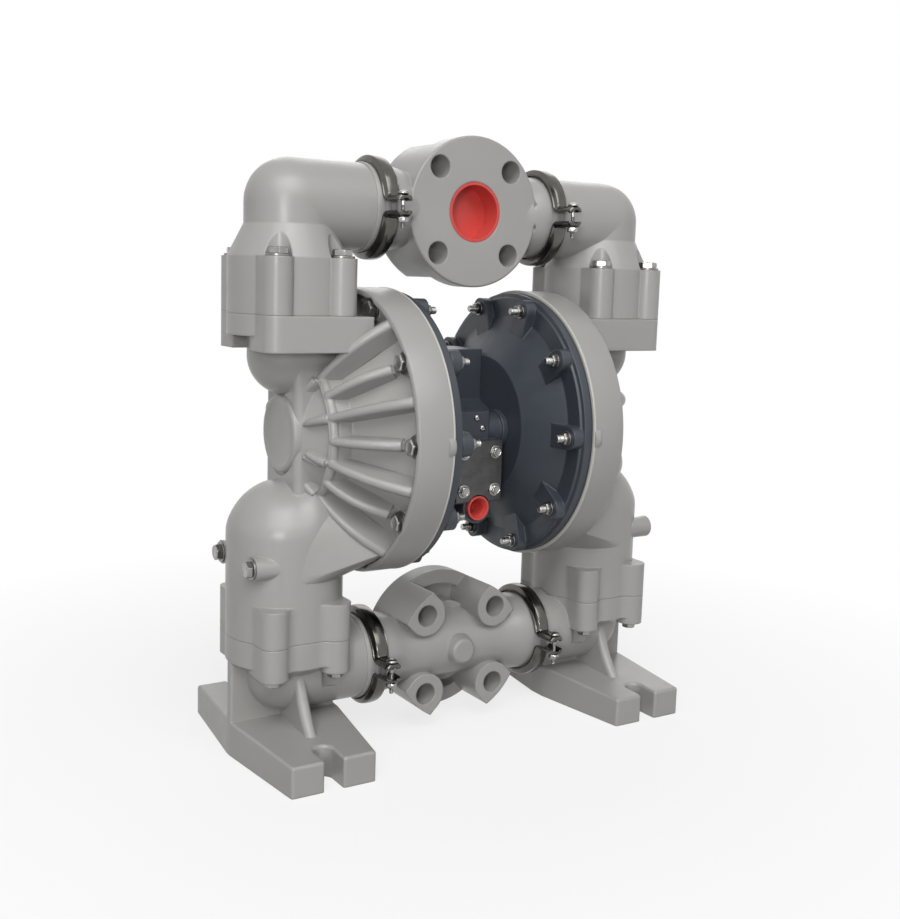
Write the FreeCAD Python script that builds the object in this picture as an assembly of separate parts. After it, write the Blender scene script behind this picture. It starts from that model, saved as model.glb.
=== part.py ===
import FreeCAD, Part
import math
import os

# Air operated double diaphragm pump, two inch size.
# Millimetres, origin on the floor under the middle of the pump, +Z up,
# +X along the diaphragm rod, and -Y the side that the discharge flange faces.
# The left side is modelled and the right side is its mirror image.

Vec = FreeCAD.Vector

# Clearances
gap = 0.3                      # between pieces that move against each other
rod_fit = 0.05                 # radial running fit of rod, spool and pilot pin

# Overall layout
rod_height = 322.0             # rod axis above the floor
outlet_rise = 224.0            # discharge manifold axis above the rod axis
inlet_drop = 239.0             # suction manifold axis below the rod axis
column_reach = 190.0           # vertical port columns, from the middle
joint_reach = 102.0            # manifold clamp planes, from the middle

# Manifold pipe and its clamped ends
pipe_r = 43.0
pipe_bore_r = 30.5
waist_r = 36.0                 # of the tee's run, behind its flange
waist_half = 52.0              # length of the narrow part, to each side
lip_r = 47.0                   # clamped lip on each pipe end
lip_length = 5.0

# Class 150 flange for two inch pipe
flange_r = 76.2
flange_reach = 37.3            # flange face from the manifold axis
flange_thickness = 24.3
flange_recess_r = 61.0         # hollow behind the flange, inside its rim
flange_recess_depth = 9.0
flange_hole_circle_r = 60.325
flange_hole_r = 11.5
flange_boss_r = 22.0
branch_neck_r = 45.0
hump_base_r = 17.0
hump_tip_r = 13.0
hump_height = 9.0
hump_round = 4.0
flange_edge = 1.2              # chamfer round the flange face
flange_cap_depth = 28.0
flange_cap_wall = 3.0

# Chamber
chamber_r = 145.0              # outer radius of the wetted cap's rim
rim_face = 83.0                # plane where the two chamber halves meet, from the middle
rim_width = 39.0
rim_wall = 6.0
bolt_circle_r = 130.0
bolt_count = 10
head_seat_reach = 116.0        # plane under the chamber bolt heads
pocket_floor_reach = 107.0
hub_reach = 196.0
hub_r = 34.0
hub_mark_r = 30.0
tab_r = 13.0                   # moulding tabs on the rim, level at the front and the back
tab_height = 3.0
tab_width = 7.0
ring_r = 69.0                  # middle ring that joins the ribs
ring_reach = 175.0
rib_root = 2.4                 # half width of a rib's back at the middle ring
rib_end = 4.4                  # and at the rim
cone_outer = (108.0, 124.0)    # reach and radius where the outside cone starts
cone_inner = (153.5, 73.0)     # and where it meets the middle ring
ring_foot = (171.0, 65.5)      # inner side of the middle ring, where the inner cone starts
cavity_start = (97.0, 112.0)
cavity_end = (150.0, 52.0)
cavity_depth_reach = 170.0
bore_root_reach = 109.0        # inner ends of the port bores, inside the cavity
cavity_floor_r = 32.0

# Wetted cap ports
upper_port_rise = 77.0
upper_port_r = 39.0
upper_parting = 117.5          # joint face to the discharge elbow, above the rod axis
upper_round_bottom = 97.0
upper_plate_bottom = 83.0
upper_plate_reach = 129.0
lower_port_drop = 92.0
housing_r = 58.5               # round valve housings on the columns
lower_port_end_r = 50.0
lower_parting = -200.0
lower_lug_top = -163.0
lug_x = 33.0                   # bolt lugs, from the column axis
lug_y = 51.0
lug_r = 14.5
port_bore_r = 28.0
lug_blend = 14.0               # inner corners beside the lugs of the suction columns
spine_half = 37.0
spine_round = 7.0
spine_root_reach = 150.0

# Air cap
air_cap_r = 142.0
air_flange_reach = 70.0
air_step_r = 137.0
air_cone_r = 115.0
air_disc_r = 77.0
air_disc_reach = 42.0
air_boss_half = 12.0
air_boss_reach = 60.0
air_wall = 8.0
air_floor_r = 60.0
air_bowl_r = 112.0

# Diaphragm assembly
diaphragm_mid = 83.0
diaphragm_thickness = 4.0
diaphragm_edge_r = 121.5
bead_r = 3.2
bead_depth = 1.5               # of the grooves that grip the bead
roll_centre_r = 80.0
roll_r = 22.0
rod_r = 12.0
stud_r = 8.0
plate_r = 44.0
inner_plate_thickness = 8.0
outer_plate_thickness = 13.0
rod_travel = 15.0

# Ball valves
ball_r = 26.0
seat_bore_r = 21.0
seat_outer_r = 40.0
seat_height = 14.0
cage_bore_r = 36.0
ball_lift = 12.0
seal_r = 1.8
seal_clear = 0.2

# Discharge elbow
elbow_lug_top = 172.0
elbow_cone_top = 203.0
elbow_relief = 24.0            # height of the bolt head reliefs in the skirt

# Foot elbow
foot_housing_bottom = -226.0
foot_lug_bottom = -233.0
foot_length_half = 125.0
foot_height = 30.0
foot_web_height = 35.0
foot_end_in = 148.5
foot_end_out = 236.0
foot_mid_in = 132.0
foot_mid_out = 249.0
slot_r = 9.75
slot_depth = 34.0
slot_reach = 192.5
foot_round = 3.0
web_half = 5.0
fin_half = 6.0
fin_foot_reach = 73.0

# Column fasteners, M12
screw_r = 6.0
screw_hole_r = 6.5
screw_head_r = 10.4
screw_head_height = 7.5
washer_r = 12.0
washer_thickness = 2.5

# Chamber fasteners, M10
stud_bolt_r = 5.0
stud_hole_r = 5.4
stud_head_r = 9.2
stud_head_height = 7.0
stud_washer_r = 10.5
stud_washer_thickness = 2.0
stud_tip_reach = 46.0
nut_height = 8.0
pocket_r = 11.7
pocket_clear = 22.0            # free height over the bolt heads' seats

# Drain bosses on the suction columns
drain_boss_r = 12.0
drain_boss_y = 40.0
drain_boss_drop = 124.0
drain_boss_left_end = 241.0
drain_boss_right_end = 248.5
drain_screw_r = 5.0
drain_screw_length = 16.0
drain_washer_thickness = 2.0
drain_head_height = 6.0

# Band clamps
band_inner_r = 47.6
band_outer_r = 50.9
band_flat = 7.4
band_lip = 11.0
band_lip_r = 43.9
ear_half_width = 8.0
ear_length = 26.0
ear_thickness = 3.0
ear_split = 6.0
clamp_bolt_r = 3.0
clamp_bolt_y = 68.0

# Centre body and air valve
block_half = 42.0
tower_front = 5.0
tower_top = 81.0
tower_back = 62.0
shoulder_top = 27.0
shoulder_bottom = 15.0
block_front = -18.0
bush_wall = 3.0
block_bottom = -96.0
valve_axis_y = -31.0
valve_axis_drop = 2.0
valve_end_r = 21.0
valve_end_width = 7.0
valve_mid_r = 18.0
valve_half = 28.0
valve_front = -59.0
valve_top = 12.0
valve_foot = -74.0             # underside of the square block
valve_bottom = -95.0
valve_step = -42.0             # front of the lower block, round the air port's boss
nose_half = 18.0
nose_front = -50.0
nose_screws = ((2.5, 13.5), (9.7, 2.5))
nose_screw_r = 3.4
spool_r = 9.0
spool_half = 26.0
spool_room = 12.0              # free bore beyond each end of the spool
pilot_r = 3.0
pilot_y = 26.0
cover_half = 27.5
cover_top = -9.0
cover_bottom = -72.0
cover_thickness = 3.0
cover_screw_x = 19.0
cover_screw_z = (-21.0, -60.5)
cover_screw_r = 2.9
cover_screw_length = 14.0
air_port_drop = 79.5
air_port_r = 12.7
air_boss_wall = 4.0
air_plug_bore_r = 8.4
air_plug_lip = 3.5
air_plug_depth = 22.0
exhaust_r = 19.0
exhaust_length = 46.0
exhaust_drop = 40.0

rod_axis = Vec(0, 0, rod_height)
upper_z = rod_height + upper_parting
lower_z = rod_height + lower_parting
outlet_z = rod_height + outlet_rise
inlet_z = rod_height - inlet_drop


def cyl(radius, start, end):
    """A round bar between two points."""
    axis = end - start
    return Part.makeCylinder(radius, axis.Length, start, axis)


def box(x0, x1, y0, y1, z0, z1):
    """A block between two corners."""
    return Part.makeBox(x1 - x0, y1 - y0, z1 - z0, Vec(x0, y0, z0))


def fuse(shapes):
    """One solid from overlapping ones, without their seams where the faces allow it."""
    joined = shapes[0].multiFuse(shapes[1:])
    smooth = joined.removeSplitter()
    return smooth if smooth.isValid() else joined


def mirrored(shape):
    """The same piece on the other side of the pump."""
    return shape.mirror(Vec(0, 0, 0), Vec(1, 0, 0))


def turned(shape, angle, centre, axis):
    """A copy turned about an axis, in degrees."""
    copy = shape.copy()
    copy.rotate(centre, axis, angle)
    return copy


def revolve_x(points, height=rod_height):
    """A ring turned about the X axis line at a height, from reach and radius pairs on the left."""
    path = [Vec(-reach, 0, height + radius) for reach, radius in points]
    face = Part.Face(Part.makePolygon(path + [path[0]]))
    return face.revolve(Vec(0, 0, height), Vec(1, 0, 0), 360)


def revolve_z(points, centre):
    """A ring turned about a vertical line, from radius and height pairs."""
    path = [Vec(centre.x + radius, centre.y, z) for radius, z in points]
    face = Part.Face(Part.makePolygon(path + [path[0]]))
    return face.revolve(centre, Vec(0, 0, 1), 360)


def hexagon(radius, start, end):
    """A six-sided bar, its radius given to the corners."""
    axis = end - start
    side = Vec(0, 0, 1) if abs(axis.z) < 1e-6 else Vec(0, 1, 0)
    other = axis.cross(side).normalize()
    corners = [start + side * (radius * math.cos(math.radians(60 * k)))
               + other * (radius * math.sin(math.radians(60 * k))) for k in range(6)]
    return Part.Face(Part.makePolygon(corners + [corners[0]])).extrude(axis)


def export(name, shape):
    """Write one sub-part."""
    shape.exportStep("parts/" + name + ".step")


def column_lugs(z0, z1, radius=lug_r):
    """The four bolt lugs around a column."""
    lugs = []
    for x in (-lug_x, lug_x):
        for y in (-lug_y, lug_y):
            foot = Vec(x - column_reach, y, z0)
            lugs.append(cyl(radius, foot, Vec(foot.x, y, z1)))
            inner = math.copysign(lug_y - 2 * radius, y)
            lugs.append(box(foot.x - radius, foot.x + radius, min(y, inner), max(y, inner), z0, z1))
    return lugs


def column_points(z):
    """Where the column bolts stand, at a height."""
    return [Vec(x - column_reach, y, z) for x in (-lug_x, lug_x) for y in (-lug_y, lug_y)]


def chamber_angles():
    """The chamber bolts' angles, the first one level at the front."""
    return [360.0 * k / bolt_count for k in range(bolt_count)]


def chamber_point(reach, angle, radius=bolt_circle_r):
    """A point on the left chamber at a reach, an angle and a radius."""
    a = math.radians(angle)
    return Vec(-reach, -radius * math.cos(a), rod_height + radius * math.sin(a))


def rib(back, heel, widths, angle):
    """A radial rib: a round back along reach and radius pairs, on a plate that widens with it."""
    low, high = back[0][1], back[-1][1]
    spread = (widths[1] - widths[0]) / (high - low)
    parts = []
    for (reach0, radius0), (reach1, radius1) in zip(back, back[1:]):
        start = Vec(-reach0, 0, rod_height + radius0)
        run = Vec(-reach1, 0, rod_height + radius1) - start
        half0 = widths[0] + spread * (radius0 - low)
        half1 = widths[0] + spread * (radius1 - low)
        parts.append(Part.makeCone(half0, half1, run.Length, start, run))
        parts.append(Part.makeSphere(half1, start + run))
    outline = [Vec(-reach, -2 * rib_end, rod_height + radius) for reach, radius in back + heel]
    plate = Part.Face(Part.makePolygon(outline + [outline[0]])).extrude(Vec(0, 4 * rib_end, 0))
    side = []
    for radius in (low - 15, high + 15):
        half = max(widths[0] + spread * (radius - low), 0.2) - 0.1
        side.append((half, rod_height + radius))
    corners = [Vec(-hub_reach, -side[0][0], side[0][1]), Vec(-hub_reach, side[0][0], side[0][1]),
               Vec(-hub_reach, side[1][0], side[1][1]), Vec(-hub_reach, -side[1][0], side[1][1])]
    wedge = Part.Face(Part.makePolygon(corners + [corners[0]])).extrude(Vec(hub_reach - rim_face, 0, 0))
    return turned(fuse([plate.common(wedge)] + parts), angle, rod_axis, Vec(1, 0, 0))


def cap_ribs():
    """The outer ribs, one to each bolt and one between, and the inner ribs to the hub."""
    rim_reach = rim_face + rim_width - 3.0
    wall_r = chamber_r - rim_wall
    long_back = [(ring_reach, ring_r), (151.0, 102.0), (rim_reach, wall_r - 2)]
    long_heel = [(pocket_floor_reach, wall_r + 1), (ring_reach - 20, ring_r - 8)]
    bolt_back = [(ring_reach, ring_r), (152.0, 97.0), (rim_reach + 3, bolt_circle_r - pocket_r - 1)]
    bolt_heel = [(pocket_floor_reach + 3, bolt_circle_r - pocket_r), (ring_reach - 20, ring_r - 8)]
    nose_back = [(hub_reach - 5.5, hub_r + 8), (ring_reach + 2.5, ring_r - 2)]
    nose_heel = [(ring_reach - 10, ring_r - 1), (hub_reach - 18, hub_r + 4)]
    ribs = []
    for k in range(2 * bolt_count):
        angle = 90 + 180.0 * k / bolt_count
        if k % 2 == 0:
            ribs.append(rib(bolt_back, bolt_heel, (rib_root, rib_end), angle))
        else:
            ribs.append(rib(long_back, long_heel, (rib_root, rib_end), angle))
            ribs.append(rib(nose_back, nose_heel, (0.6, rib_end - 0.8), angle))
    return ribs


def cap_body():
    """The wetted cap's turned body: rim, pocket floor, cone, middle ring and hub."""
    rim_end = rim_face + rim_width
    wall_r = chamber_r - rim_wall
    return revolve_x([
        (rim_face, 0), (rim_face, chamber_r - 1), (rim_face + 1, chamber_r), (rim_end - 4, chamber_r),
        (rim_end - 1, chamber_r - 1.2), (rim_end, chamber_r - 3.5), (rim_end, wall_r),
        (pocket_floor_reach, wall_r - 1), cone_outer, cone_inner, (ring_reach - 1, ring_r + 3),
        (ring_reach + 2, ring_r), (ring_reach + 1, ring_r - 2.5), ring_foot,
        (hub_reach - 5, hub_r + 4), (hub_reach, hub_r - 2), (hub_reach, 0),
    ])


def cap_upper_port():
    """The discharge port: bent pipe, round flange and the flat plate that carries the lugs."""
    centre = Vec(-column_reach, 0, rod_height + upper_port_rise)
    pipe_up = cyl(upper_port_r, centre, Vec(centre.x, 0, upper_z - 5))
    pipe_in = cyl(upper_port_r, centre, Vec(-cone_outer[0] - 22, 0, centre.z))
    corner = Part.makeSphere(upper_port_r, centre)
    round_z = rod_height + upper_round_bottom
    plate_z = rod_height + upper_plate_bottom
    flange = cyl(housing_r, Vec(centre.x, 0, round_z), Vec(centre.x, 0, upper_z))
    left = -column_reach - lug_x
    front = lug_y + lug_r
    bars = []
    for side in (-1, 1):
        y0, y1 = sorted((side * (front - 2 * lug_r - 4), side * front))
        bars.append(box(left, -upper_plate_reach, y0, y1, plate_z, upper_z))
    middle = box(-column_reach, -upper_plate_reach, -front + 4, front - 4, plate_z, upper_z)
    return [pipe_up, pipe_in, corner, flange, middle] + bars + column_lugs(plate_z, upper_z)


def column_outline():
    """A column with its four lugs in plan, the corners between them rounded."""
    lugs = column_lugs(-1, 1)
    blank = cyl(housing_r, Vec(-column_reach, 0, -1), Vec(-column_reach, 0, 1))
    section = fuse([blank] + lugs).slice(Vec(0, 0, 1), 0)[0]
    outline = Part.Face(section)
    return outline.makeOffset2D(lug_blend).makeOffset2D(-lug_blend)


def cap_lower_port():
    """The suction port: domed column that swells out of the cap, and its lugs."""
    centre = Vec(-column_reach, 0, rod_height - lower_port_drop)
    column = cyl(housing_r, Vec(centre.x, 0, lower_z), centre)
    dome = Part.makeSphere(housing_r, centre)
    length = column_reach - cone_outer[0] - 8
    swell = Part.makeCone(housing_r, lower_port_end_r, length, centre, Vec(1, 0, 0))
    skirt = column_outline().extrude(Vec(0, 0, lower_lug_top - lower_parting))
    skirt.translate(Vec(0, 0, lower_z))
    return [column, dome, swell, skirt]


def cap_spine():
    """The block behind the hub that ties the two ports together, rounded at its outer corners."""
    block = box(-hub_reach, -spine_root_reach, -spine_half, spine_half, rod_height - lower_port_drop,
                rod_height + upper_port_rise)
    corners = [edge for edge in block.Edges if edge.BoundBox.ZLength > 2 * spine_half
               and edge.BoundBox.XMax < 1 - hub_reach]
    return block.makeFillet(spine_round, corners)


def rim_tabs():
    """The two round moulding tabs on the rim, level at the front and the back."""
    radius = chamber_r + tab_height - tab_r
    tabs = []
    for side in (-1, 1):
        start = Vec(-rim_face, side * radius, rod_height)
        tabs.append(cyl(tab_r, start, start - Vec(tab_width, 0, 0)))
    return tabs


def bolt_pads():
    """Round pads that the chamber bolt heads sit on, at the foot of the rim."""
    pads = []
    for angle in chamber_angles():
        root = chamber_point(pocket_floor_reach - 8, angle)
        pads.append(cyl(pocket_r + 0.5, root, chamber_point(head_seat_reach, angle)))
    return pads


def drain_bosses(end):
    """The two round bosses that stand outwards from the suction column."""
    bosses = []
    for side in (-1, 1):
        z = rod_height - drain_boss_drop
        bosses.append(cyl(drain_boss_r, Vec(-end, side * drain_boss_y, z),
                          Vec(-column_reach + 10, side * drain_boss_y, z)))
    return bosses


def cap_cavity():
    """The wetted space: bowl, bores up to the discharge seat and down to the suction seat."""
    start, end = cavity_start, cavity_end
    groove = rim_face + diaphragm_thickness / 2 + gap
    edge = diaphragm_edge_r + bead_r + gap
    bowl = revolve_x([(rim_face - 1, 0), (rim_face - 1, edge), (groove + bead_depth, edge),
                      (groove + bead_depth, start[1] + 2), start, end,
                      (cavity_depth_reach, cavity_floor_r), (cavity_depth_reach, 0)])
    up = Vec(-column_reach, 0, rod_height + upper_port_rise)
    down = Vec(-column_reach, 0, rod_height - lower_port_drop)
    bores = [
        cyl(port_bore_r, up, Vec(up.x, 0, upper_z + 1)),
        Part.makeSphere(port_bore_r, up),
        cyl(port_bore_r, up, Vec(-bore_root_reach, 0, up.z)),
        cyl(port_bore_r, Vec(down.x, 0, rod_height + lower_parting + seat_height + ball_r), down),
        Part.makeSphere(port_bore_r, down),
        cyl(port_bore_r, down, Vec(-bore_root_reach, 0, down.z)),
    ]
    return [bowl] + bores


def seat_pocket(z):
    """Counterbore that holds a ball seat, above a joint face."""
    centre = Vec(-column_reach, 0, z)
    return cyl(seat_outer_r + gap, centre, Vec(centre.x, 0, z + seat_height))


def ball_space(z):
    """The cage space over a seat, in which the ball lifts."""
    low = z + seat_height - 1
    high = z + seat_height + math.sqrt(ball_r ** 2 - seat_bore_r ** 2) + ball_r + ball_lift + 1.5
    centre = Vec(-column_reach, 0, low)
    return cyl(cage_bore_r, centre, Vec(centre.x, 0, high)), high


def cage_guides(z, high):
    """Four upright guides and the stop bars that keep a ball over its seat."""
    guides = []
    low = z + seat_height
    stop = high - 0.5
    for k in range(4):
        bar = box(-column_reach + ball_r + 1.0, -column_reach + cage_bore_r + 2, -3, 3, low, high + 2)
        hook = box(-column_reach + 9, -column_reach + cage_bore_r + 2, -3, 3, stop, high + 6)
        for piece in (bar, hook):
            guides.append(turned(piece, 45 + 90 * k, Vec(-column_reach, 0, 0), Vec(0, 0, 1)))
    return guides


def wetted_cap(boss_end, drilled):
    """One moulded cap with its ports, ribs, pockets and bores, its drain bosses drilled or plain."""
    solid = fuse([cap_body(), cap_spine()] + rim_tabs() + cap_ribs() + bolt_pads() + cap_upper_port()
                 + cap_lower_port() + drain_bosses(boss_end))
    cage, cage_top = ball_space(lower_z)
    cuts = cap_cavity() + [seat_pocket(lower_z), cage]
    for angle in chamber_angles():
        seat_centre = chamber_point(head_seat_reach, angle)
        cuts.append(cyl(pocket_r, seat_centre, chamber_point(head_seat_reach + pocket_clear, angle)))
        hole_end = chamber_point(head_seat_reach + 1, angle)
        cuts.append(cyl(stud_hole_r, chamber_point(rim_face - 1, angle), hole_end))
    for point in column_points(upper_z):
        cuts.append(cyl(screw_hole_r, point - Vec(0, 0, upper_parting - upper_plate_bottom - 6), point))
    for point in column_points(lower_z):
        cuts.append(cyl(screw_hole_r, point, point + Vec(0, 0, lower_lug_top - lower_parting - 7)))
    for side in (-1, 1) if drilled else ():
        start = Vec(-boss_end - 1, side * drain_boss_y, rod_height - drain_boss_drop)
        cuts.append(cyl(drain_screw_r + gap, start, start + Vec(drain_screw_length + 2, 0, 0)))
    clear = lug_y + lug_r + 5
    cuts.append(box(-column_reach - clear, -upper_plate_reach, -clear, clear, upper_z, upper_z + 40))
    mark = cyl(hub_mark_r, Vec(-hub_reach + 0.8, 0, rod_height), Vec(-hub_reach - 1, 0, rod_height))
    core = cyl(hub_mark_r - 1.2, Vec(-hub_reach + 0.8, 0, rod_height), Vec(-hub_reach - 1, 0, rod_height))
    cuts.append(mark.cut(core))
    solid = solid.cut(Part.makeCompound(cuts))
    guides = [guide.common(cage_blank(lower_z, cage_top)) for guide in cage_guides(lower_z, cage_top)]
    return fuse([solid] + guides)


def cage_blank(z, high):
    """The space that cage guides may fill."""
    centre = Vec(-column_reach, 0, z + seat_height + gap)
    return cyl(cage_bore_r + 1.5, centre, Vec(centre.x, 0, high + 6))


def air_boss(angle):
    """A bolt boss on the air cap: round end outwards, straight sides down to the cone."""
    start = Vec(-air_boss_reach, 0, rod_height + bolt_circle_r)
    end = Vec(-air_flange_reach - 2, 0, rod_height + bolt_circle_r)
    post = cyl(air_boss_half, start, end)
    sides = box(-air_flange_reach - 2, -air_boss_reach, -air_boss_half, air_boss_half,
                rod_height + air_disc_r + 10, rod_height + bolt_circle_r)
    return turned(fuse([post, sides]), angle + 90, rod_axis, Vec(1, 0, 0))


def air_bowl():
    """The air cap's inner wall from its floor to the diaphragm's face, as reach and radius pairs."""
    floor = air_disc_reach + air_wall
    face = rim_face - diaphragm_thickness / 2 - gap
    return [(floor, air_floor_r), (floor + 2, air_floor_r + 6), (face - 5, air_bowl_r - 5),
            (face, air_bowl_r)]


def air_cap():
    """The dry half of a chamber, with its ten bosses, bolted to the centre body."""
    flange = air_flange_reach
    edge = diaphragm_edge_r + bead_r + gap
    bowl = air_bowl()
    floor, face = bowl[0][0], bowl[-1][0]
    bead_edge = diaphragm_edge_r - bead_r
    profile = [
        (rim_face, edge), (rim_face, air_cap_r - 1), (rim_face - 1, air_cap_r), (flange + 3, air_cap_r),
        (flange + 2, air_step_r + 1), (flange, air_step_r), (flange, air_cone_r + 3),
        (flange - 2, air_cone_r), (air_disc_reach + 2, air_disc_r), (air_disc_reach, air_disc_r - 3),
        (air_disc_reach, rod_r + 6), (floor, rod_r + 6),
    ] + bowl + [(face, bead_edge - 2), (face - bead_depth, bead_edge), (face - bead_depth, edge)]
    solid = fuse([revolve_x(profile)] + [air_boss(angle) for angle in chamber_angles()])
    inside = revolve_x([(floor, 0)] + bowl + [(rim_face + 1, air_bowl_r), (rim_face + 1, 0)])
    holes = [cyl(stud_hole_r, chamber_point(rim_face + 1, angle), chamber_point(air_boss_reach - 1, angle))
             for angle in chamber_angles()]
    pin = Vec(-rim_face, pilot_y, rod_height)
    holes.append(cyl(pilot_r + gap, pin, Vec(-air_disc_reach + 1, pilot_y, rod_height)))
    return solid.cut(Part.makeCompound([inside] + holes))


def diaphragm():
    """The flexible disc: flat clamped centre, rolled wave and beaded edge."""
    half = diaphragm_thickness / 2
    mid = diaphragm_mid
    inner = roll_centre_r - roll_r
    outer = roll_centre_r + roll_r
    wave = []
    for k in range(13):
        a = math.pi * k / 12
        wave.append((inner + (outer - inner) * k / 12, 11.0 * math.sin(a) ** 2))
    front = [(mid + half + lift, radius) for radius, lift in wave]
    back = [(mid - half + lift, radius) for radius, lift in wave]
    low, high = diaphragm_edge_r - bead_r, diaphragm_edge_r + bead_r
    thick = half + bead_depth - 0.2
    bead = [(mid + half, low), (mid + thick, low + 1.5), (mid + thick, high - 1), (mid + half, high),
            (mid - half, high), (mid - thick, high - 1), (mid - thick, low + 1.5), (mid - half, low)]
    hole = [(mid - half, stud_r + gap), (mid + half, stud_r + gap)]
    return revolve_x(hole + front + bead + back[::-1])


def plates():
    """The inner and outer clamp plates of one diaphragm."""
    half = diaphragm_thickness / 2
    start = diaphragm_mid - half
    back = start - inner_plate_thickness
    inner = revolve_x([(start, stud_r), (start, plate_r - 4), (start - 1.5, plate_r), (start - 4, plate_r),
                       (back, plate_r - 12), (back, stud_r)])
    base = diaphragm_mid + half
    tip = base + outer_plate_thickness
    outer = revolve_x([(base, 0), (base, plate_r - 4), (base + 1.5, plate_r), (base + 4, plate_r),
                       (tip - 4, plate_r - 16), (tip, 12), (tip, 0)])
    stud_end = base + outer_plate_thickness * 0.7
    bore = cyl(stud_r, Vec(-base + 1, 0, rod_height), Vec(-stud_end, 0, rod_height))
    return inner, outer.cut(bore)


def rod():
    """The rod that joins the two diaphragms, with a stud at each end."""
    half = diaphragm_thickness / 2
    shoulder = diaphragm_mid - half - inner_plate_thickness
    stud_end = diaphragm_mid + half + outer_plate_thickness * 0.7
    shaft = cyl(rod_r, Vec(-shoulder, 0, rod_height), Vec(shoulder, 0, rod_height))
    stud = cyl(stud_r, Vec(-stud_end, 0, rod_height), Vec(stud_end, 0, rod_height))
    return fuse([shaft, stud])


def ball(z):
    """A valve ball resting on the edge of its seat."""
    rise = math.sqrt(ball_r ** 2 - seat_bore_r ** 2)
    return Part.makeSphere(ball_r, Vec(-column_reach, 0, z + seat_height + rise + 0.05))


def seat(z):
    """A ball seat ring with a groove for its seal."""
    top = z + seat_height
    bottom = z + gap / 2
    axis = Vec(-column_reach, 0, 0)
    ring = revolve_z([(seat_bore_r, bottom), (seat_outer_r, bottom), (seat_outer_r, top),
                      (seat_bore_r, top)], axis)
    floor = seat_outer_r - 2 * seal_r - seal_clear
    over = seat_outer_r + 1
    z0 = z + seat_height / 2 - seal_r - seal_clear
    z1 = z + seat_height / 2 + seal_r + seal_clear
    return ring.cut(revolve_z([(floor, z0), (over, z0), (over, z1), (floor, z1)], axis))


def seal(z):
    """The round seal in a seat's groove."""
    centre = Vec(-column_reach, 0, z + seat_height / 2)
    return Part.makeTorus(seat_outer_r - seal_r, seal_r, centre, Vec(0, 0, 1))


def discharge_elbow():
    """The upper elbow: valve housing with four lugs, skirt, bend and clamped pipe end."""
    bend = Vec(-column_reach, 0, outlet_z)
    lug_z = rod_height + elbow_lug_top
    cone_z = rod_height + elbow_cone_top
    housing = cyl(housing_r, Vec(bend.x, 0, upper_z), Vec(bend.x, 0, lug_z))
    skirt = Part.makeCone(housing_r, pipe_r, cone_z - lug_z, Vec(bend.x, 0, lug_z), Vec(0, 0, 1))
    riser = cyl(pipe_r, Vec(bend.x, 0, lug_z), bend)
    corner = Part.makeSphere(pipe_r, bend)
    run = cyl(pipe_r, bend, Vec(-joint_reach, 0, outlet_z))
    lip = cyl(lip_r, Vec(-joint_reach - lip_length, 0, outlet_z), Vec(-joint_reach, 0, outlet_z))
    solid = fuse([housing, skirt, riser, corner, run, lip] + column_lugs(upper_z, lug_z))
    cage, cage_top = ball_space(upper_z)
    cuts = [seat_pocket(upper_z), cage, cyl(pipe_bore_r, Vec(bend.x, 0, cage_top - 1), bend),
            Part.makeSphere(pipe_bore_r, bend), cyl(pipe_bore_r, bend, Vec(-joint_reach + 1, 0, outlet_z))]
    for point in column_points(lug_z):
        cuts.append(cyl(washer_r + 1.5, point, point + Vec(0, 0, elbow_relief)))
        depth = Vec(0, 0, elbow_lug_top - upper_parting + 1)
        cuts.append(cyl(screw_hole_r, point - depth, point + Vec(0, 0, 1)))
    solid = solid.cut(Part.makeCompound(cuts))
    guides = [guide.common(cage_blank(upper_z, cage_top)) for guide in cage_guides(upper_z, cage_top)]
    return fuse([solid] + guides)


def foot_half():
    """The rear half of a foot: a sloped bar with rounded edges and an open bolt slot at its end."""
    length = foot_length_half
    points = [Vec(-foot_mid_in, 0, 0), Vec(-foot_mid_in, 10, 0), Vec(-foot_end_in, length, 0),
              Vec(-foot_end_out, length, 0), Vec(-foot_mid_out, 4, 0), Vec(-foot_mid_out, 0, 0)]
    above = 2 * foot_web_height
    base = Part.Face(Part.makePolygon(points + [points[0]])).extrude(Vec(0, 0, above))
    x0 = -foot_mid_out - 1
    slope = [Vec(x0, -1, foot_web_height), Vec(x0, length + 1, foot_height),
             Vec(x0, length + 1, above + 1), Vec(x0, -1, above + 1)]
    inner = length - slot_depth + slot_r
    cuts = [Part.Face(Part.makePolygon(slope + [slope[0]])).extrude(Vec(foot_mid_out, 0, 0)),
            box(-slot_reach - slot_r, -slot_reach + slot_r, inner, length + 1, -1, above),
            cyl(slot_r, Vec(-slot_reach, inner, -1), Vec(-slot_reach, inner, above))]
    base = base.cut(Part.makeCompound(cuts)).removeSplitter()
    rounded = []
    for edge in base.Edges:
        extent = edge.BoundBox
        upright = extent.ZLength > foot_height / 2 and extent.YLength < 0.1
        at_end = edge.CenterOfMass.y > length - 0.1
        on_top = extent.ZMin > foot_height / 2 and extent.YMax > 0.1
        if (upright and at_end) or (on_top and not upright):
            rounded.append(edge)
    return base.makeFillet(foot_round, rounded)


def foot_plate():
    """The foot: a flat bar that is widest in the middle, with a bolt slot at each end."""
    half = foot_half()
    return fuse([half, half.mirror(Vec(0, 0, 0), Vec(0, 1, 0))])


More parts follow.
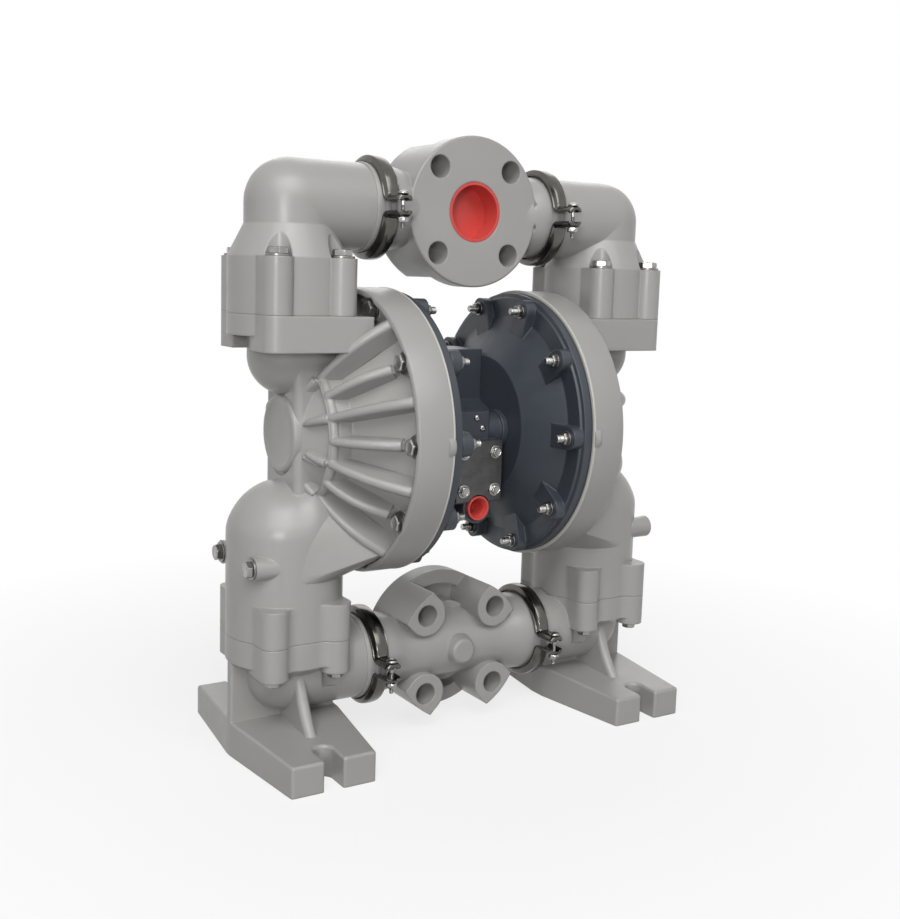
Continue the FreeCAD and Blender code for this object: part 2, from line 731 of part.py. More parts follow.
def foot_fin(side):
    """A hollow-edged fin from the bend down to the foot, at the front or the back."""
    top = inlet_z + 10
    low = foot_height
    knee = Vec(-column_reach, side * (pipe_r + 8), inlet_z - 20)
    end = Vec(-column_reach, side * fin_foot_reach, low + 2)
    corner = Vec(-column_reach, side * fin_foot_reach, low - 5)
    root = Vec(-column_reach, 0, low - 5)
    crown = Vec(-column_reach, 0, top)
    curve = Part.Arc(Vec(-column_reach, side * (pipe_r - 2), top), knee, end).toShape()
    lines = [Part.makeLine(end, corner), Part.makeLine(corner, root), Part.makeLine(root, crown),
             Part.makeLine(crown, Vec(-column_reach, side * (pipe_r - 2), top))]
    face = Part.Face(Part.Wire(Part.__sortEdges__([curve] + lines)))
    face.translate(Vec(-fin_half, 0, 0))
    fin = face.extrude(Vec(2 * fin_half, 0, 0))
    nose = [edge for edge in fin.Edges if edge.Curve.TypeId == "Part::GeomCircle"]
    return fin.makeFillet(fin_half - 0.5, nose)


def foot_elbow():
    """The lower elbow with its valve seat face, lugs, web, fins and foot."""
    bend = Vec(-column_reach, 0, inlet_z)
    bottom = rod_height + foot_housing_bottom
    housing = cyl(housing_r, Vec(bend.x, 0, bottom), Vec(bend.x, 0, lower_z))
    taper = Part.makeCone(pipe_r, housing_r, 10, Vec(bend.x, 0, bottom - 10), Vec(0, 0, 1))
    riser = cyl(pipe_r, bend, Vec(bend.x, 0, lower_z))
    corner = Part.makeSphere(pipe_r, bend)
    run = cyl(pipe_r, bend, Vec(-joint_reach, 0, inlet_z))
    lip = cyl(lip_r, Vec(-joint_reach - lip_length, 0, inlet_z), Vec(-joint_reach, 0, inlet_z))
    web = box(-foot_mid_out, -foot_mid_in - 4, -web_half, web_half, 0, bottom + 2)
    outer = [edge for edge in web.Edges
             if edge.BoundBox.ZLength > foot_height and edge.BoundBox.XMax < 1 - foot_mid_out]
    web = web.makeFillet(foot_round, outer)
    skirt = column_outline().extrude(Vec(0, 0, lower_parting - foot_housing_bottom))
    skirt.translate(Vec(0, 0, bottom))
    foot = [web, foot_plate(), foot_fin(-1), foot_fin(1)]
    solid = fuse([housing, taper, riser, corner, run, lip, skirt] + foot
                 + column_lugs(rod_height + foot_lug_bottom, lower_z))
    clear = lug_y + lug_r + 5
    over = box(-column_reach - clear, -column_reach + housing_r + 1, -clear, clear, lower_z, lower_z + 20)
    cuts = [over, cyl(seat_bore_r + 2, bend, Vec(bend.x, 0, lower_z + 1)),
            Part.makeSphere(pipe_bore_r, bend),
            cyl(pipe_bore_r, bend, Vec(bend.x, 0, lower_z - 12)),
            cyl(pipe_bore_r, bend, Vec(-joint_reach + 1, 0, inlet_z))]
    for point in column_points(rod_height + foot_lug_bottom):
        cuts.append(cyl(washer_r + 1.5, point, point - Vec(0, 0, 20)))
        cuts.append(cyl(screw_hole_r, point - Vec(0, 0, 1), Vec(point.x, point.y, lower_z + 1)))
    return solid.cut(Part.makeCompound(cuts))


def flange_boss(x, z):
    """A bolt boss behind the flange: flush with its rim outside, round inside."""
    across = math.degrees(math.atan2(z, x))
    hole = Vec(x, 0, z)
    back = Vec(0, flange_reach, 0)
    post = cyl(flange_boss_r, hole - back, hole + back)
    sides = box(0, flange_r, -flange_reach, flange_reach, -flange_boss_r, flange_boss_r)
    sides = turned(sides, -across, Vec(0, 0, 0), Vec(0, 1, 0))
    sides.translate(hole)
    blank = cyl(flange_r, Vec(0, -flange_reach, 0), Vec(0, flange_reach, 0))
    return fuse([post, sides]).common(blank)


def flange_holes():
    """The flange bolt holes' places, on the diagonals."""
    step = flange_hole_circle_r / math.sqrt(2)
    return [(x, z) for x in (-step, step) for z in (-step, step)]


def tee_run(end):
    """The tee's run, turned about X: full size at its clamped ends, drawn in behind the flange."""
    full = end - lip_length - 3.0
    places = [Vec(waist_half, 0, waist_r), Vec((waist_half + full) / 2, 0, (waist_r + pipe_r) / 2),
              Vec(full, 0, pipe_r)]
    slope = 2 * (pipe_r - waist_r) / (full - waist_half)
    curve = Part.BSplineCurve()
    curve.interpolate(Points=places, Tangents=[Vec(1, 0, 0), Vec(1, 0, slope), Vec(1, 0, 0)],
                      TangentFlags=[True, True, True])
    corners = [Vec(full, 0, pipe_r), Vec(end, 0, pipe_r), Vec(end, 0, 0), Vec(0, 0, 0), Vec(0, 0, waist_r),
               Vec(waist_half, 0, waist_r)]
    edges = [Part.makeLine(one, other) for one, other in zip(corners, corners[1:])] + [curve.toShape()]
    half = Part.Face(Part.Wire(Part.__sortEdges__(edges))).revolve(Vec(0, 0, 0), Vec(1, 0, 0), 360)
    return [half, half.mirror(Vec(0, 0, 0), Vec(1, 0, 0))]


def tee():
    """The suction manifold tee: run with clamped lips, and one flanged branch facing +Y."""
    end = joint_reach - gap
    middle = Vec(0, 0, 0)
    face = middle + Vec(0, flange_reach, 0)
    behind = face - Vec(0, flange_thickness, 0)
    lips = [cyl(lip_r, Vec(s * (end - lip_length), 0, 0), Vec(s * end, 0, 0)) for s in (-1, 1)]
    disc = cyl(flange_r, behind, face)
    recess_floor = behind + Vec(0, flange_recess_depth, 0)
    recess = cyl(flange_recess_r, behind - Vec(0, 1, 0), recess_floor)
    recess = recess.cut(cyl(branch_neck_r, behind - Vec(0, 2, 0), recess_floor))
    neck = cyl(branch_neck_r, middle, face)
    base = middle - Vec(0, waist_r - 3.0, 0)
    hump = Part.makeCone(hump_base_r, hump_tip_r, hump_height + 3.0, base, Vec(0, -1, 0))
    tip = [edge for edge in hump.Edges if edge.BoundBox.YMax < 1 - waist_r - hump_height]
    hump = hump.makeFillet(hump_round, tip)
    bosses = [flange_boss(x, z) for x, z in flange_holes()]
    solid = fuse([disc.cut(recess), neck, hump] + tee_run(end) + lips + bosses)
    cuts = [cyl(pipe_bore_r, middle - Vec(end + 1, 0, 0), middle + Vec(end + 1, 0, 0)),
            cyl(pipe_bore_r, middle, face + Vec(0, 1, 0))]
    for x, z in flange_holes():
        hole = Vec(x, -flange_reach - 1, z)
        cuts.append(cyl(flange_hole_r, hole, hole + Vec(0, 2 * flange_reach + 2, 0)))
    rim = face - Vec(0, flange_edge, 0)
    blank = Part.makeCone(flange_r, flange_r - 2 * flange_edge, 2 * flange_edge, rim, Vec(0, 1, 0))
    cuts.append(cyl(flange_r + 1, rim, rim + Vec(0, 2 * flange_edge, 0)).cut(blank))
    solid = solid.cut(Part.makeCompound(cuts))
    solid.translate(Vec(0, 0, inlet_z))
    return solid


def raised(shape):
    """A suction manifold piece turned to face -Y and lifted to the discharge manifold."""
    copy = turned(shape, 180, Vec(0, 0, inlet_z), Vec(1, 0, 0))
    copy.translate(Vec(0, 0, outlet_z - inlet_z))
    return copy


def flange_cap():
    """A push-in cup that closes the suction flange for transport."""
    face = Vec(0, flange_reach, inlet_z)
    outer = cyl(pipe_bore_r - gap, face - Vec(0, flange_cap_depth, 0), face)
    hollow_floor = face - Vec(0, flange_cap_depth - flange_cap_wall, 0)
    return outer.cut(cyl(pipe_bore_r - gap - flange_cap_wall, hollow_floor, face + Vec(0, 1, 0)))


def band_half(z, upward):
    """One half of a band clamp, with an ear at the front and one at the back."""
    sign = 1 if upward else -1
    section = [(-band_lip, band_lip_r + 0.7), (-band_flat, band_outer_r), (band_flat, band_outer_r),
               (band_lip, band_lip_r + 0.7), (band_lip - 2, band_lip_r), (band_flat - 1.2, band_inner_r),
               (1.2 - band_flat, band_inner_r), (2 - band_lip, band_lip_r)]
    band = revolve_x([(joint_reach + v, radius) for v, radius in section], z)
    reach = band_outer_r + 60
    x0 = -joint_reach - band_lip - 1
    x1 = -joint_reach + band_lip + 1
    z0, z1 = sorted((z + sign * ear_split, z + sign * reach))
    half = band.common(box(x0, x1, -reach, reach, z0, z1))
    ears = []
    for side in (-1, 1):
        y0, y1 = sorted((side * (band_inner_r - 0.5), side * (band_inner_r + ear_length)))
        e0, e1 = sorted((z + sign * ear_split, z + sign * (ear_split + ear_thickness)))
        ears.append(box(-joint_reach - ear_half_width, -joint_reach + ear_half_width, y0, y1, e0, e1))
    solid = fuse([half] + ears)
    holes = []
    for side in (-1, 1):
        foot = Vec(-joint_reach, side * clamp_bolt_y, z - 30)
        holes.append(cyl(clamp_bolt_r + 0.3, foot, foot + Vec(0, 0, 60)))
    inside = cyl(band_lip_r, Vec(x0, 0, z), Vec(x1, 0, z))
    return solid.cut(Part.makeCompound(holes + [inside]))


def clamp(z):
    """Both halves of a band clamp."""
    return Part.makeCompound([band_half(z, True), band_half(z, False)])


def clamp_bolts(z):
    """The two bolts of a clamp, domed head up."""
    bolts = []
    top = z + ear_split + ear_thickness
    for side in (-1, 1):
        foot = Vec(-joint_reach, side * clamp_bolt_y, 0)
        dome = Part.makeSphere(9.0, foot + Vec(0, 0, top - 5.0))
        dome = dome.common(box(foot.x - 10, foot.x + 10, foot.y - 10, foot.y + 10, top, top + 10))
        shank = cyl(clamp_bolt_r, foot + Vec(0, 0, top - 30), foot + Vec(0, 0, top + 1))
        bolts.append(fuse([dome, shank]))
    return bolts


def clamp_nuts(z):
    """The nuts of a clamp's bolts, under the lower ears."""
    nuts = []
    for side in (-1, 1):
        low = z - ear_split - ear_thickness
        foot = Vec(-joint_reach, side * clamp_bolt_y, low)
        nut = hexagon(6.4, foot, foot - Vec(0, 0, 5.5))
        nuts.append(nut.cut(cyl(clamp_bolt_r, foot + Vec(0, 0, 1), foot - Vec(0, 0, 7))))
    return nuts


def column_bolts(z, direction, length):
    """Hex bolts with washers on the four lugs of one column, heads on the given side."""
    bolts, washers = [], []
    for point in column_points(z):
        seat_top = point + Vec(0, 0, direction * washer_thickness)
        bore = cyl(screw_r, point - Vec(0, 0, washer_r), point + Vec(0, 0, washer_r))
        washer = cyl(washer_r, point, seat_top).cut(bore)
        head = hexagon(screw_head_r, seat_top, seat_top + Vec(0, 0, direction * screw_head_height))
        shank = cyl(screw_r, seat_top + Vec(0, 0, direction), point - Vec(0, 0, direction * length))
        washers.append(washer)
        bolts.append(fuse([head, shank]))
    return bolts, washers


def chamber_bolts():
    """The ten bolts of one chamber with washers under the heads, and nuts with washers on the tips."""
    bolts, washers, nuts = [], [], []
    for angle in chamber_angles():
        at = [chamber_point(reach, angle) for reach in (
            head_seat_reach, head_seat_reach + stud_washer_thickness,
            head_seat_reach + stud_washer_thickness + stud_head_height, stud_tip_reach,
            air_boss_reach, air_boss_reach - stud_washer_thickness,
            air_boss_reach - stud_washer_thickness - nut_height)]
        shank = cyl(stud_bolt_r, at[3], at[1])
        bolts.append(fuse([hexagon(stud_head_r, at[1], at[2]), shank]))
        bar = cyl(stud_bolt_r, at[3], at[2])
        washers.append(cyl(stud_washer_r, at[0], at[1]).cut(bar))
        washers.append(cyl(stud_washer_r, at[4], at[5]).cut(bar))
        nuts.append(hexagon(stud_head_r, at[5], at[6]).cut(bar))
    return bolts, washers, nuts


def drain_screws():
    """Hex screws with washers in the ends of the left drain bosses."""
    screws, washers = [], []
    for side in (-1, 1):
        seat_end = Vec(-drain_boss_left_end, side * drain_boss_y, rod_height - drain_boss_drop)
        washer_end = seat_end - Vec(drain_washer_thickness, 0, 0)
        shank = cyl(drain_screw_r, seat_end + Vec(drain_screw_length, 0, 0), washer_end)
        screws.append(fuse([hexagon(8.5, washer_end, washer_end - Vec(drain_head_height, 0, 0)), shank]))
        washers.append(cyl(10.5, seat_end, washer_end).cut(cyl(drain_screw_r, seat_end, washer_end)))
    return screws, washers


def centre_body():
    """The block between the air caps: tower, sloped shoulder and lower block, bored for the rod."""
    h = rod_height
    outline = [Vec(0, tower_back, h + tower_top), Vec(0, tower_front, h + tower_top),
               Vec(0, tower_front, h + shoulder_top), Vec(0, block_front, h + shoulder_bottom),
               Vec(0, block_front, h + block_bottom), Vec(0, tower_back, h + block_bottom)]
    solid = Part.Face(Part.makePolygon(outline + [outline[0]])).extrude(Vec(2 * block_half, 0, 0))
    solid.translate(Vec(-block_half, 0, 0))
    cuts = [cyl(rod_r + bush_wall, Vec(-block_half - 1, 0, h), Vec(block_half + 1, 0, h)),
            cyl(pilot_r + rod_fit, Vec(-block_half - 1, pilot_y, h), Vec(block_half + 1, pilot_y, h))]
    port = Vec(0, tower_back + 1, h - exhaust_drop)
    cuts.append(cyl(12.0, port, port - Vec(0, 30, 0)))
    return solid.cut(Part.makeCompound(cuts))


def bush(x0, x1):
    """A plain bush for the rod in the centre body."""
    outer = cyl(rod_r + bush_wall, Vec(x0, 0, rod_height), Vec(x1, 0, rod_height))
    return outer.cut(cyl(rod_r + rod_fit, Vec(x0 - 1, 0, rod_height), Vec(x1 + 1, 0, rod_height)))


def valve_block():
    """The air valve: round spool housing with end rims, on a square block over the air port's boss."""
    h = rod_height
    z = h - valve_axis_drop
    end = block_half - gap
    barrel = cyl(valve_mid_r, Vec(-end, valve_axis_y, z), Vec(end, valve_axis_y, z))
    rims = []
    for s in (-1, 1):
        rim_end = Vec(s * (end - valve_end_width), valve_axis_y, z)
        rims.append(cyl(valve_end_r, Vec(s * end, valve_axis_y, z), rim_end))
    nose = box(-nose_half, nose_half, nose_front, valve_axis_y, h + cover_top, h + valve_top + 8)
    block = box(-valve_half, valve_half, valve_front, block_front, h + valve_foot, h + cover_top)
    lower = box(-valve_half, valve_half, valve_step, block_front, h + valve_bottom, h + valve_foot + 1)
    port = Vec(0, valve_front, h - air_port_drop)
    boss = cyl(air_port_r + air_boss_wall, port, Vec(0, valve_step + 1, port.z))
    solid = fuse([barrel, nose, block, lower, boss] + rims)
    bore = spool_half + spool_room
    cuts = [cyl(spool_r + rod_fit, Vec(-bore, valve_axis_y, z), Vec(bore, valve_axis_y, z)),
            cyl(air_port_r + gap, port - Vec(0, 1, 0), port + Vec(0, air_plug_depth, 0))]
    for x in (-cover_screw_x, cover_screw_x):
        for drop in cover_screw_z:
            hole = Vec(x, valve_front - 1, h + drop)
            cuts.append(cyl(cover_screw_r + 0.1, hole, hole + Vec(0, cover_screw_length + 1, 0)))
    cuts.append(box(-block_half - 1, block_half + 1, block_front, 20, h + block_bottom - 1, h + tower_top))
    return solid.cut(Part.makeCompound(cuts))


def cover_plate():
    """The flat plate on the air valve, with a rounded notch over the air port."""
    h = rod_height
    face = valve_front - cover_thickness
    plate = box(-cover_half, cover_half, face, valve_front, h + cover_bottom, h + cover_top)
    port = Vec(0, valve_front + 1, h - air_port_drop)
    cuts = [cyl(air_port_r + 1.5, port, port - Vec(0, 10, 0))]
    for x in (-cover_screw_x, cover_screw_x):
        for drop in cover_screw_z:
            cuts.append(cyl(3.3, Vec(x, valve_front + 1, h + drop), Vec(x, valve_front - 10, h + drop)))
    return plate.cut(Part.makeCompound(cuts))


def cover_screws():
    """The four flanged screws of the cover plate and two low round heads on the spool housing's nose."""
    h = rod_height
    screws = []
    for x in (-cover_screw_x, cover_screw_x):
        for drop in cover_screw_z:
            face = Vec(x, valve_front - cover_thickness, h + drop)
            head = hexagon(5.2, face - Vec(0, 1.2, 0), face - Vec(0, 5.2, 0))
            rim = cyl(6.2, face, face - Vec(0, 1.4, 0))
            shank = cyl(cover_screw_r, face - Vec(0, 1, 0), face + Vec(0, cover_screw_length, 0))
            screws.append(fuse([head, rim, shank]))
    for x, rise in nose_screws:
        face = Vec(x, nose_front, h + rise)
        dome = Part.makeSphere(nose_screw_r + 0.6, face + Vec(0, 2.0, 0))
        screws.append(dome.common(cyl(nose_screw_r + 1, face, face - Vec(0, 10, 0))))
    return screws


def air_plug():
    """The thin cup that closes the air inlet for transport, flared at its mouth."""
    face = Vec(0, valve_front - air_plug_lip, rod_height - air_port_drop)
    outer = cyl(air_port_r, face, face + Vec(0, air_plug_depth + air_plug_lip - 2, 0))
    bore = cyl(air_plug_bore_r, face - Vec(0, 1, 0), face + Vec(0, air_plug_depth, 0))
    mouth = Part.makeCone(air_plug_bore_r + 2.4, air_plug_bore_r, 5.0, face, Vec(0, 1, 0))
    return outer.cut(Part.makeCompound([bore, mouth]))


def spool():
    """The air valve's sliding spool, with three lands."""
    z = rod_height - valve_axis_drop
    lands = []
    for start in (-spool_half, -5.0, spool_half - 10.0):
        lands.append(cyl(spool_r, Vec(start, valve_axis_y, z), Vec(start + 10.0, valve_axis_y, z)))
    core = cyl(spool_r - 3.5, Vec(-spool_half, valve_axis_y, z), Vec(spool_half, valve_axis_y, z))
    return fuse(lands + [core])


def pilot_pin():
    """The pin that the diaphragm plates push over at the end of each stroke."""
    reach = diaphragm_mid - diaphragm_thickness / 2 - inner_plate_thickness - rod_travel - 1.0
    return cyl(pilot_r, Vec(-reach, pilot_y, rod_height), Vec(reach, pilot_y, rod_height))


def muffler():
    """The exhaust silencer at the back: threaded neck, slotted can and end cap."""
    z = rod_height - exhaust_drop
    face = tower_back
    neck = cyl(11.8, Vec(0, face - 20, z), Vec(0, face + 5, z))
    can = cyl(exhaust_r, Vec(0, face + 1, z), Vec(0, face + exhaust_length, z))
    collar = hexagon(exhaust_r + 2, Vec(0, face, z), Vec(0, face + 8, z))
    slots = []
    for k in range(8):
        slot = box(-1.5, 1.5, face + 14, face + exhaust_length - 8, exhaust_r - 3, exhaust_r + 2)
        slot = turned(slot, 45.0 * k, Vec(0, 0, 0), Vec(0, 1, 0))
        slot.translate(Vec(0, 0, z))
        slots.append(slot)
    return fuse([neck, can, collar]).cut(Part.makeCompound(slots))


def both_sides(name, shape):
    """Write a left piece and its mirror image."""
    export("left_" + name, shape)
    export("right_" + name, mirrored(shape))


def both_lists(shapes):
    """Left pieces with their mirror images, as one group."""
    return Part.makeCompound(shapes + [mirrored(shape) for shape in shapes])


def build_chambers():
    """Caps, diaphragms and their clamp plates."""
    export("left_fluid_cap", wetted_cap(drain_boss_left_end, True))
    export("right_fluid_cap", mirrored(wetted_cap(drain_boss_right_end, False)))
    both_sides("air_cap", air_cap())
    both_sides("diaphragm", diaphragm())
    inner, outer = plates()
    both_sides("inner_diaphragm_plate", inner)
    both_sides("outer_diaphragm_plate", outer)
    export("diaphragm_rod", rod())
    bolts, washers, nuts = chamber_bolts()
    both_sides("chamber_bolts", Part.makeCompound(bolts))
    both_sides("chamber_washers", Part.makeCompound(washers))
    both_sides("chamber_nuts", Part.makeCompound(nuts))
    screws, screw_washers = drain_screws()
    export("drain_screws", Part.makeCompound(screws))
    export("drain_screw_washers", Part.makeCompound(screw_washers))


def build_valves():
    """Ball valves in the columns."""
    for name, z in (("suction", lower_z), ("discharge", upper_z)):
        both_sides(name + "_ball", ball(z))
        both_sides(name + "_ball_seat", seat(z))
        export(name + "_seat_seals", both_lists([seal(z)]))


def build_manifolds():
    """Elbows, tees, clamps and their fasteners."""
    both_sides("discharge_elbow", discharge_elbow())
    both_sides("foot_elbow", foot_elbow())
    for name, shape in (("tee", tee()), ("flange_cap", flange_cap())):
        export("suction_" + name, shape)
        export("discharge_" + name, raised(shape))
    both_sides("discharge_clamp", clamp(outlet_z))
    both_sides("suction_clamp", clamp(inlet_z))
    export("clamp_bolts", both_lists(clamp_bolts(outlet_z) + clamp_bolts(inlet_z)))
    export("clamp_nuts", both_lists(clamp_nuts(outlet_z) + clamp_nuts(inlet_z)))
    bolts, washers = column_bolts(rod_height + elbow_lug_top, 1, 82.0)
    export("discharge_bolts", both_lists(bolts))
    export("discharge_washers", both_lists(washers))
    bolts, washers = column_bolts(rod_height + foot_lug_bottom, -1, 62.0)
    export("suction_bolts", both_lists(bolts))
    export("suction_washers", both_lists(washers))


def build_air_section():
    """Centre body, air valve and what they hold."""
    export("center_body", centre_body())
    export("rod_bushes", both_lists([bush(-block_half + 6, -block_half + 30)]))
    export("air_valve_body", valve_block())
    export("air_valve_cover", cover_plate())
    export("cover_screws", Part.makeCompound(cover_screws()))
    export("air_valve_spool", spool())
    export("pilot_pin", pilot_pin())
    export("air_inlet_plug", air_plug())
    export("exhaust_muffler", muffler())


def main():
    """Write every sub-part."""
    os.makedirs("parts", exist_ok=True)
    build_chambers()
    build_valves()
    build_manifolds()
    build_air_section()


main()
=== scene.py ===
import logging
import math
from dataclasses import dataclass
from enum import Enum

import bpy
import numpy as np
from mathutils import Matrix, Vector


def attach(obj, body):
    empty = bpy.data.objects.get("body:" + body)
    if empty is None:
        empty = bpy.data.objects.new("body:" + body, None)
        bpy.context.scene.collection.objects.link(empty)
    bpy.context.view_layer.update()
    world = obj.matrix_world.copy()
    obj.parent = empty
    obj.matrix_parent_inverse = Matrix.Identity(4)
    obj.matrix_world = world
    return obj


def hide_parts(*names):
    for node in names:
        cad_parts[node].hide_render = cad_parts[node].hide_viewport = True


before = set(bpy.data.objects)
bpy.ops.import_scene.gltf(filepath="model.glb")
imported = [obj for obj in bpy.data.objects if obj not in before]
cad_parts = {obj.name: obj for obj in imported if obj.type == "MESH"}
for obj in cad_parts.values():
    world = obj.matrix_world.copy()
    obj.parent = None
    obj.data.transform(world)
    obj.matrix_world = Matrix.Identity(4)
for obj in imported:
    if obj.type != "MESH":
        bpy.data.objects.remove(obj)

log = logging.getLogger("pump")

MM = 0.001
ROD_HEIGHT = 322.0 * MM
OUTLET_Z = 546.0 * MM
INLET_Z = 83.0 * MM


class Side(Enum):
    """The two halves of the pump, by the sign of X."""

    LEFT = -1
    RIGHT = 1

    @property
    def word(self) -> str:
        """The side's name in lower case."""
        return self.name.lower()


class Graph:
    """A node tree, written in short calls."""

    def __init__(self, owner: bpy.types.Material | bpy.types.World) -> None:
        """Start on the tree of a material or a world.

        Args:
            owner: The material or world.
        """
        self.owner = owner
        owner.use_nodes = True
        self.nodes, self.links = owner.node_tree.nodes, owner.node_tree.links
        self.shader = self.nodes.get("Principled BSDF")

    def add(self, kind: str, settings: dict | None = None, **inputs: object) -> bpy.types.Node:
        """Add a node, set it and feed its inputs.

        Args:
            kind: The node's type, such as "ShaderNodeBump".
            settings: Properties to set on it.
            inputs: Input names with spaces as underscores, each a value or a socket.

        Returns:
            The node.
        """
        node = self.nodes.new(kind)
        for key, value in (settings or {}).items():
            setattr(node, key, value)
        for key, value in inputs.items():
            self.feed(node.inputs[key.replace("_", " ")], value)
        return node

    def feed(self, socket: bpy.types.NodeSocket, value: object) -> None:
        """Link a socket to another, or set it to a value.

        Args:
            socket: The input.
            value: An output to link it to, or its value.
        """
        if isinstance(value, bpy.types.NodeSocket):
            self.links.new(value, socket)
        else:
            socket.default_value = value

    def places(self) -> bpy.types.NodeSocket:
        """The point on the object, in metres."""
        return self.add("ShaderNodeTexCoord").outputs["Object"]

    def noise(self, scale: float, detail: float = 2.0, rough: float = 0.5) -> bpy.types.NodeSocket:
        """Fractal noise from 0 to 1 over the object's own coordinates."""
        return self.add("ShaderNodeTexNoise", Vector=self.places(), Scale=scale, Detail=detail,
                        Roughness=rough).outputs["Fac"]

    def spread(self, value: bpy.types.NodeSocket, low: float, high: float,
               from_low: float = 0.3, from_high: float = 0.7) -> bpy.types.NodeSocket:
        """A value mapped from one span to another."""
        return self.add("ShaderNodeMapRange", Value=value, From_Min=from_low, From_Max=from_high,
                        To_Min=low, To_Max=high).outputs["Result"]

    def between(self, factor: bpy.types.NodeSocket, one: tuple, other: tuple) -> bpy.types.NodeSocket:
        """A colour between two by a factor.

        Args:
            factor: 0 for the one colour, 1 for the other.
            one: A linear colour.
            other: Another.

        Returns:
            The mixed colour.
        """
        node = self.add("ShaderNodeMix", {"data_type": "RGBA"})
        self.feed(node.inputs["Factor"], factor)
        self.feed(node.inputs[6], (*one, 1.0))
        self.feed(node.inputs[7], (*other, 1.0))
        return node.outputs[2]

    def combined(self, operation: str, one: bpy.types.NodeSocket,
                 other: bpy.types.NodeSocket) -> bpy.types.NodeSocket:
        """Two numbers put together by a math operation.

        Args:
            operation: The operation's name, such as "MAXIMUM".
            one: A number.
            other: Another.

        Returns:
            The result.
        """
        node = self.add("ShaderNodeMath", {"operation": operation})
        self.feed(node.inputs[0], one)
        self.feed(node.inputs[1], other)
        return node.outputs[0]


def shaded(colour: tuple, factor: float) -> tuple:
    """A colour made lighter or darker."""
    return tuple(min(1.0, c * factor) for c in colour)


@dataclass(frozen=True)
class Plastic:
    """Moulded plastic with a satin skin, faint flow clouds and rounded edges.

    Attributes:
        name: The finish's name.
        colour: Linear base colour.
        clouds: How much the colour varies over a hand's breadth.
        rough: Mean roughness of the skin.
        grain: Depth of the fine grain in metres.
        edge: Radius in metres that the shading rounds edges by.
    """

    name: str
    colour: tuple
    clouds: float = 0.04
    rough: float = 0.42
    grain: float = 0.00004
    edge: float = 0.0016

    def material(self) -> bpy.types.Material:
        """Build the material.

        Returns:
            The material, its patterns laid on the object's own coordinates.
        """
        graph = Graph(bpy.data.materials.new(self.name))
        cloud = graph.spread(graph.noise(9.0, 4.0), 0.0, 1.0)
        graph.feed(graph.shader.inputs["Base Color"], graph.between(
            cloud, shaded(self.colour, 1 - self.clouds), shaded(self.colour, 1 + self.clouds)))
        smear = graph.spread(graph.noise(60.0, 5.0, 0.6), self.rough - 0.05, self.rough + 0.06)
        graph.feed(graph.shader.inputs["Roughness"], smear)
        bevel = graph.add("ShaderNodeBevel", {"samples": 6}, Radius=self.edge)
        skin = graph.add("ShaderNodeBump", Height=graph.noise(1400.0, 2.0), Distance=self.grain,
                         Strength=0.6, Normal=bevel.outputs["Normal"])
        wave = graph.add("ShaderNodeBump", Height=graph.noise(38.0, 1.0), Distance=0.4 * MM,
                         Strength=0.25, Normal=skin.outputs["Normal"])
        graph.feed(graph.shader.inputs["Normal"], wave.outputs["Normal"])
        return graph.owner


@dataclass(frozen=True)
class Steel:
    """Bare stainless or plated steel with handling marks.

    Attributes:
        name: The finish's name.
        colour: Linear base colour.
        rough: Mean roughness.
        stain: How dark the duller patches are.
        blur: How far the roughness wanders.
        scratch: Depth of the fine marks in metres.
        edge: Radius in metres that the shading rounds edges by.
    """

    name: str
    colour: tuple
    rough: float = 0.3
    stain: float = 0.75
    blur: float = 0.05
    scratch: float = 0.00001
    edge: float = 0.0004

    def material(self) -> bpy.types.Material:
        """Build the material.

        Returns:
            The material, its patterns laid on the object's own coordinates.
        """
        graph = Graph(bpy.data.materials.new(self.name))
        patch = graph.spread(graph.noise(120.0, 5.0, 0.6), 0.0, 1.0, 0.35, 0.65)
        base = graph.between(patch, shaded(self.colour, self.stain), self.colour)
        graph.feed(graph.shader.inputs["Base Color"], base)
        graph.shader.inputs["Metallic"].default_value = 1.0
        smear = graph.spread(graph.noise(90.0, 4.0, 0.6), self.rough - self.blur, self.rough + self.blur)
        graph.feed(graph.shader.inputs["Roughness"], smear)
        bevel = graph.add("ShaderNodeBevel", {"samples": 4}, Radius=self.edge)
        marks = graph.add("ShaderNodeBump", Height=graph.noise(2600.0, 3.0, 0.7),
                          Distance=self.scratch, Strength=0.5, Normal=bevel.outputs["Normal"])
        graph.feed(graph.shader.inputs["Normal"], marks.outputs["Normal"])
        return graph.owner


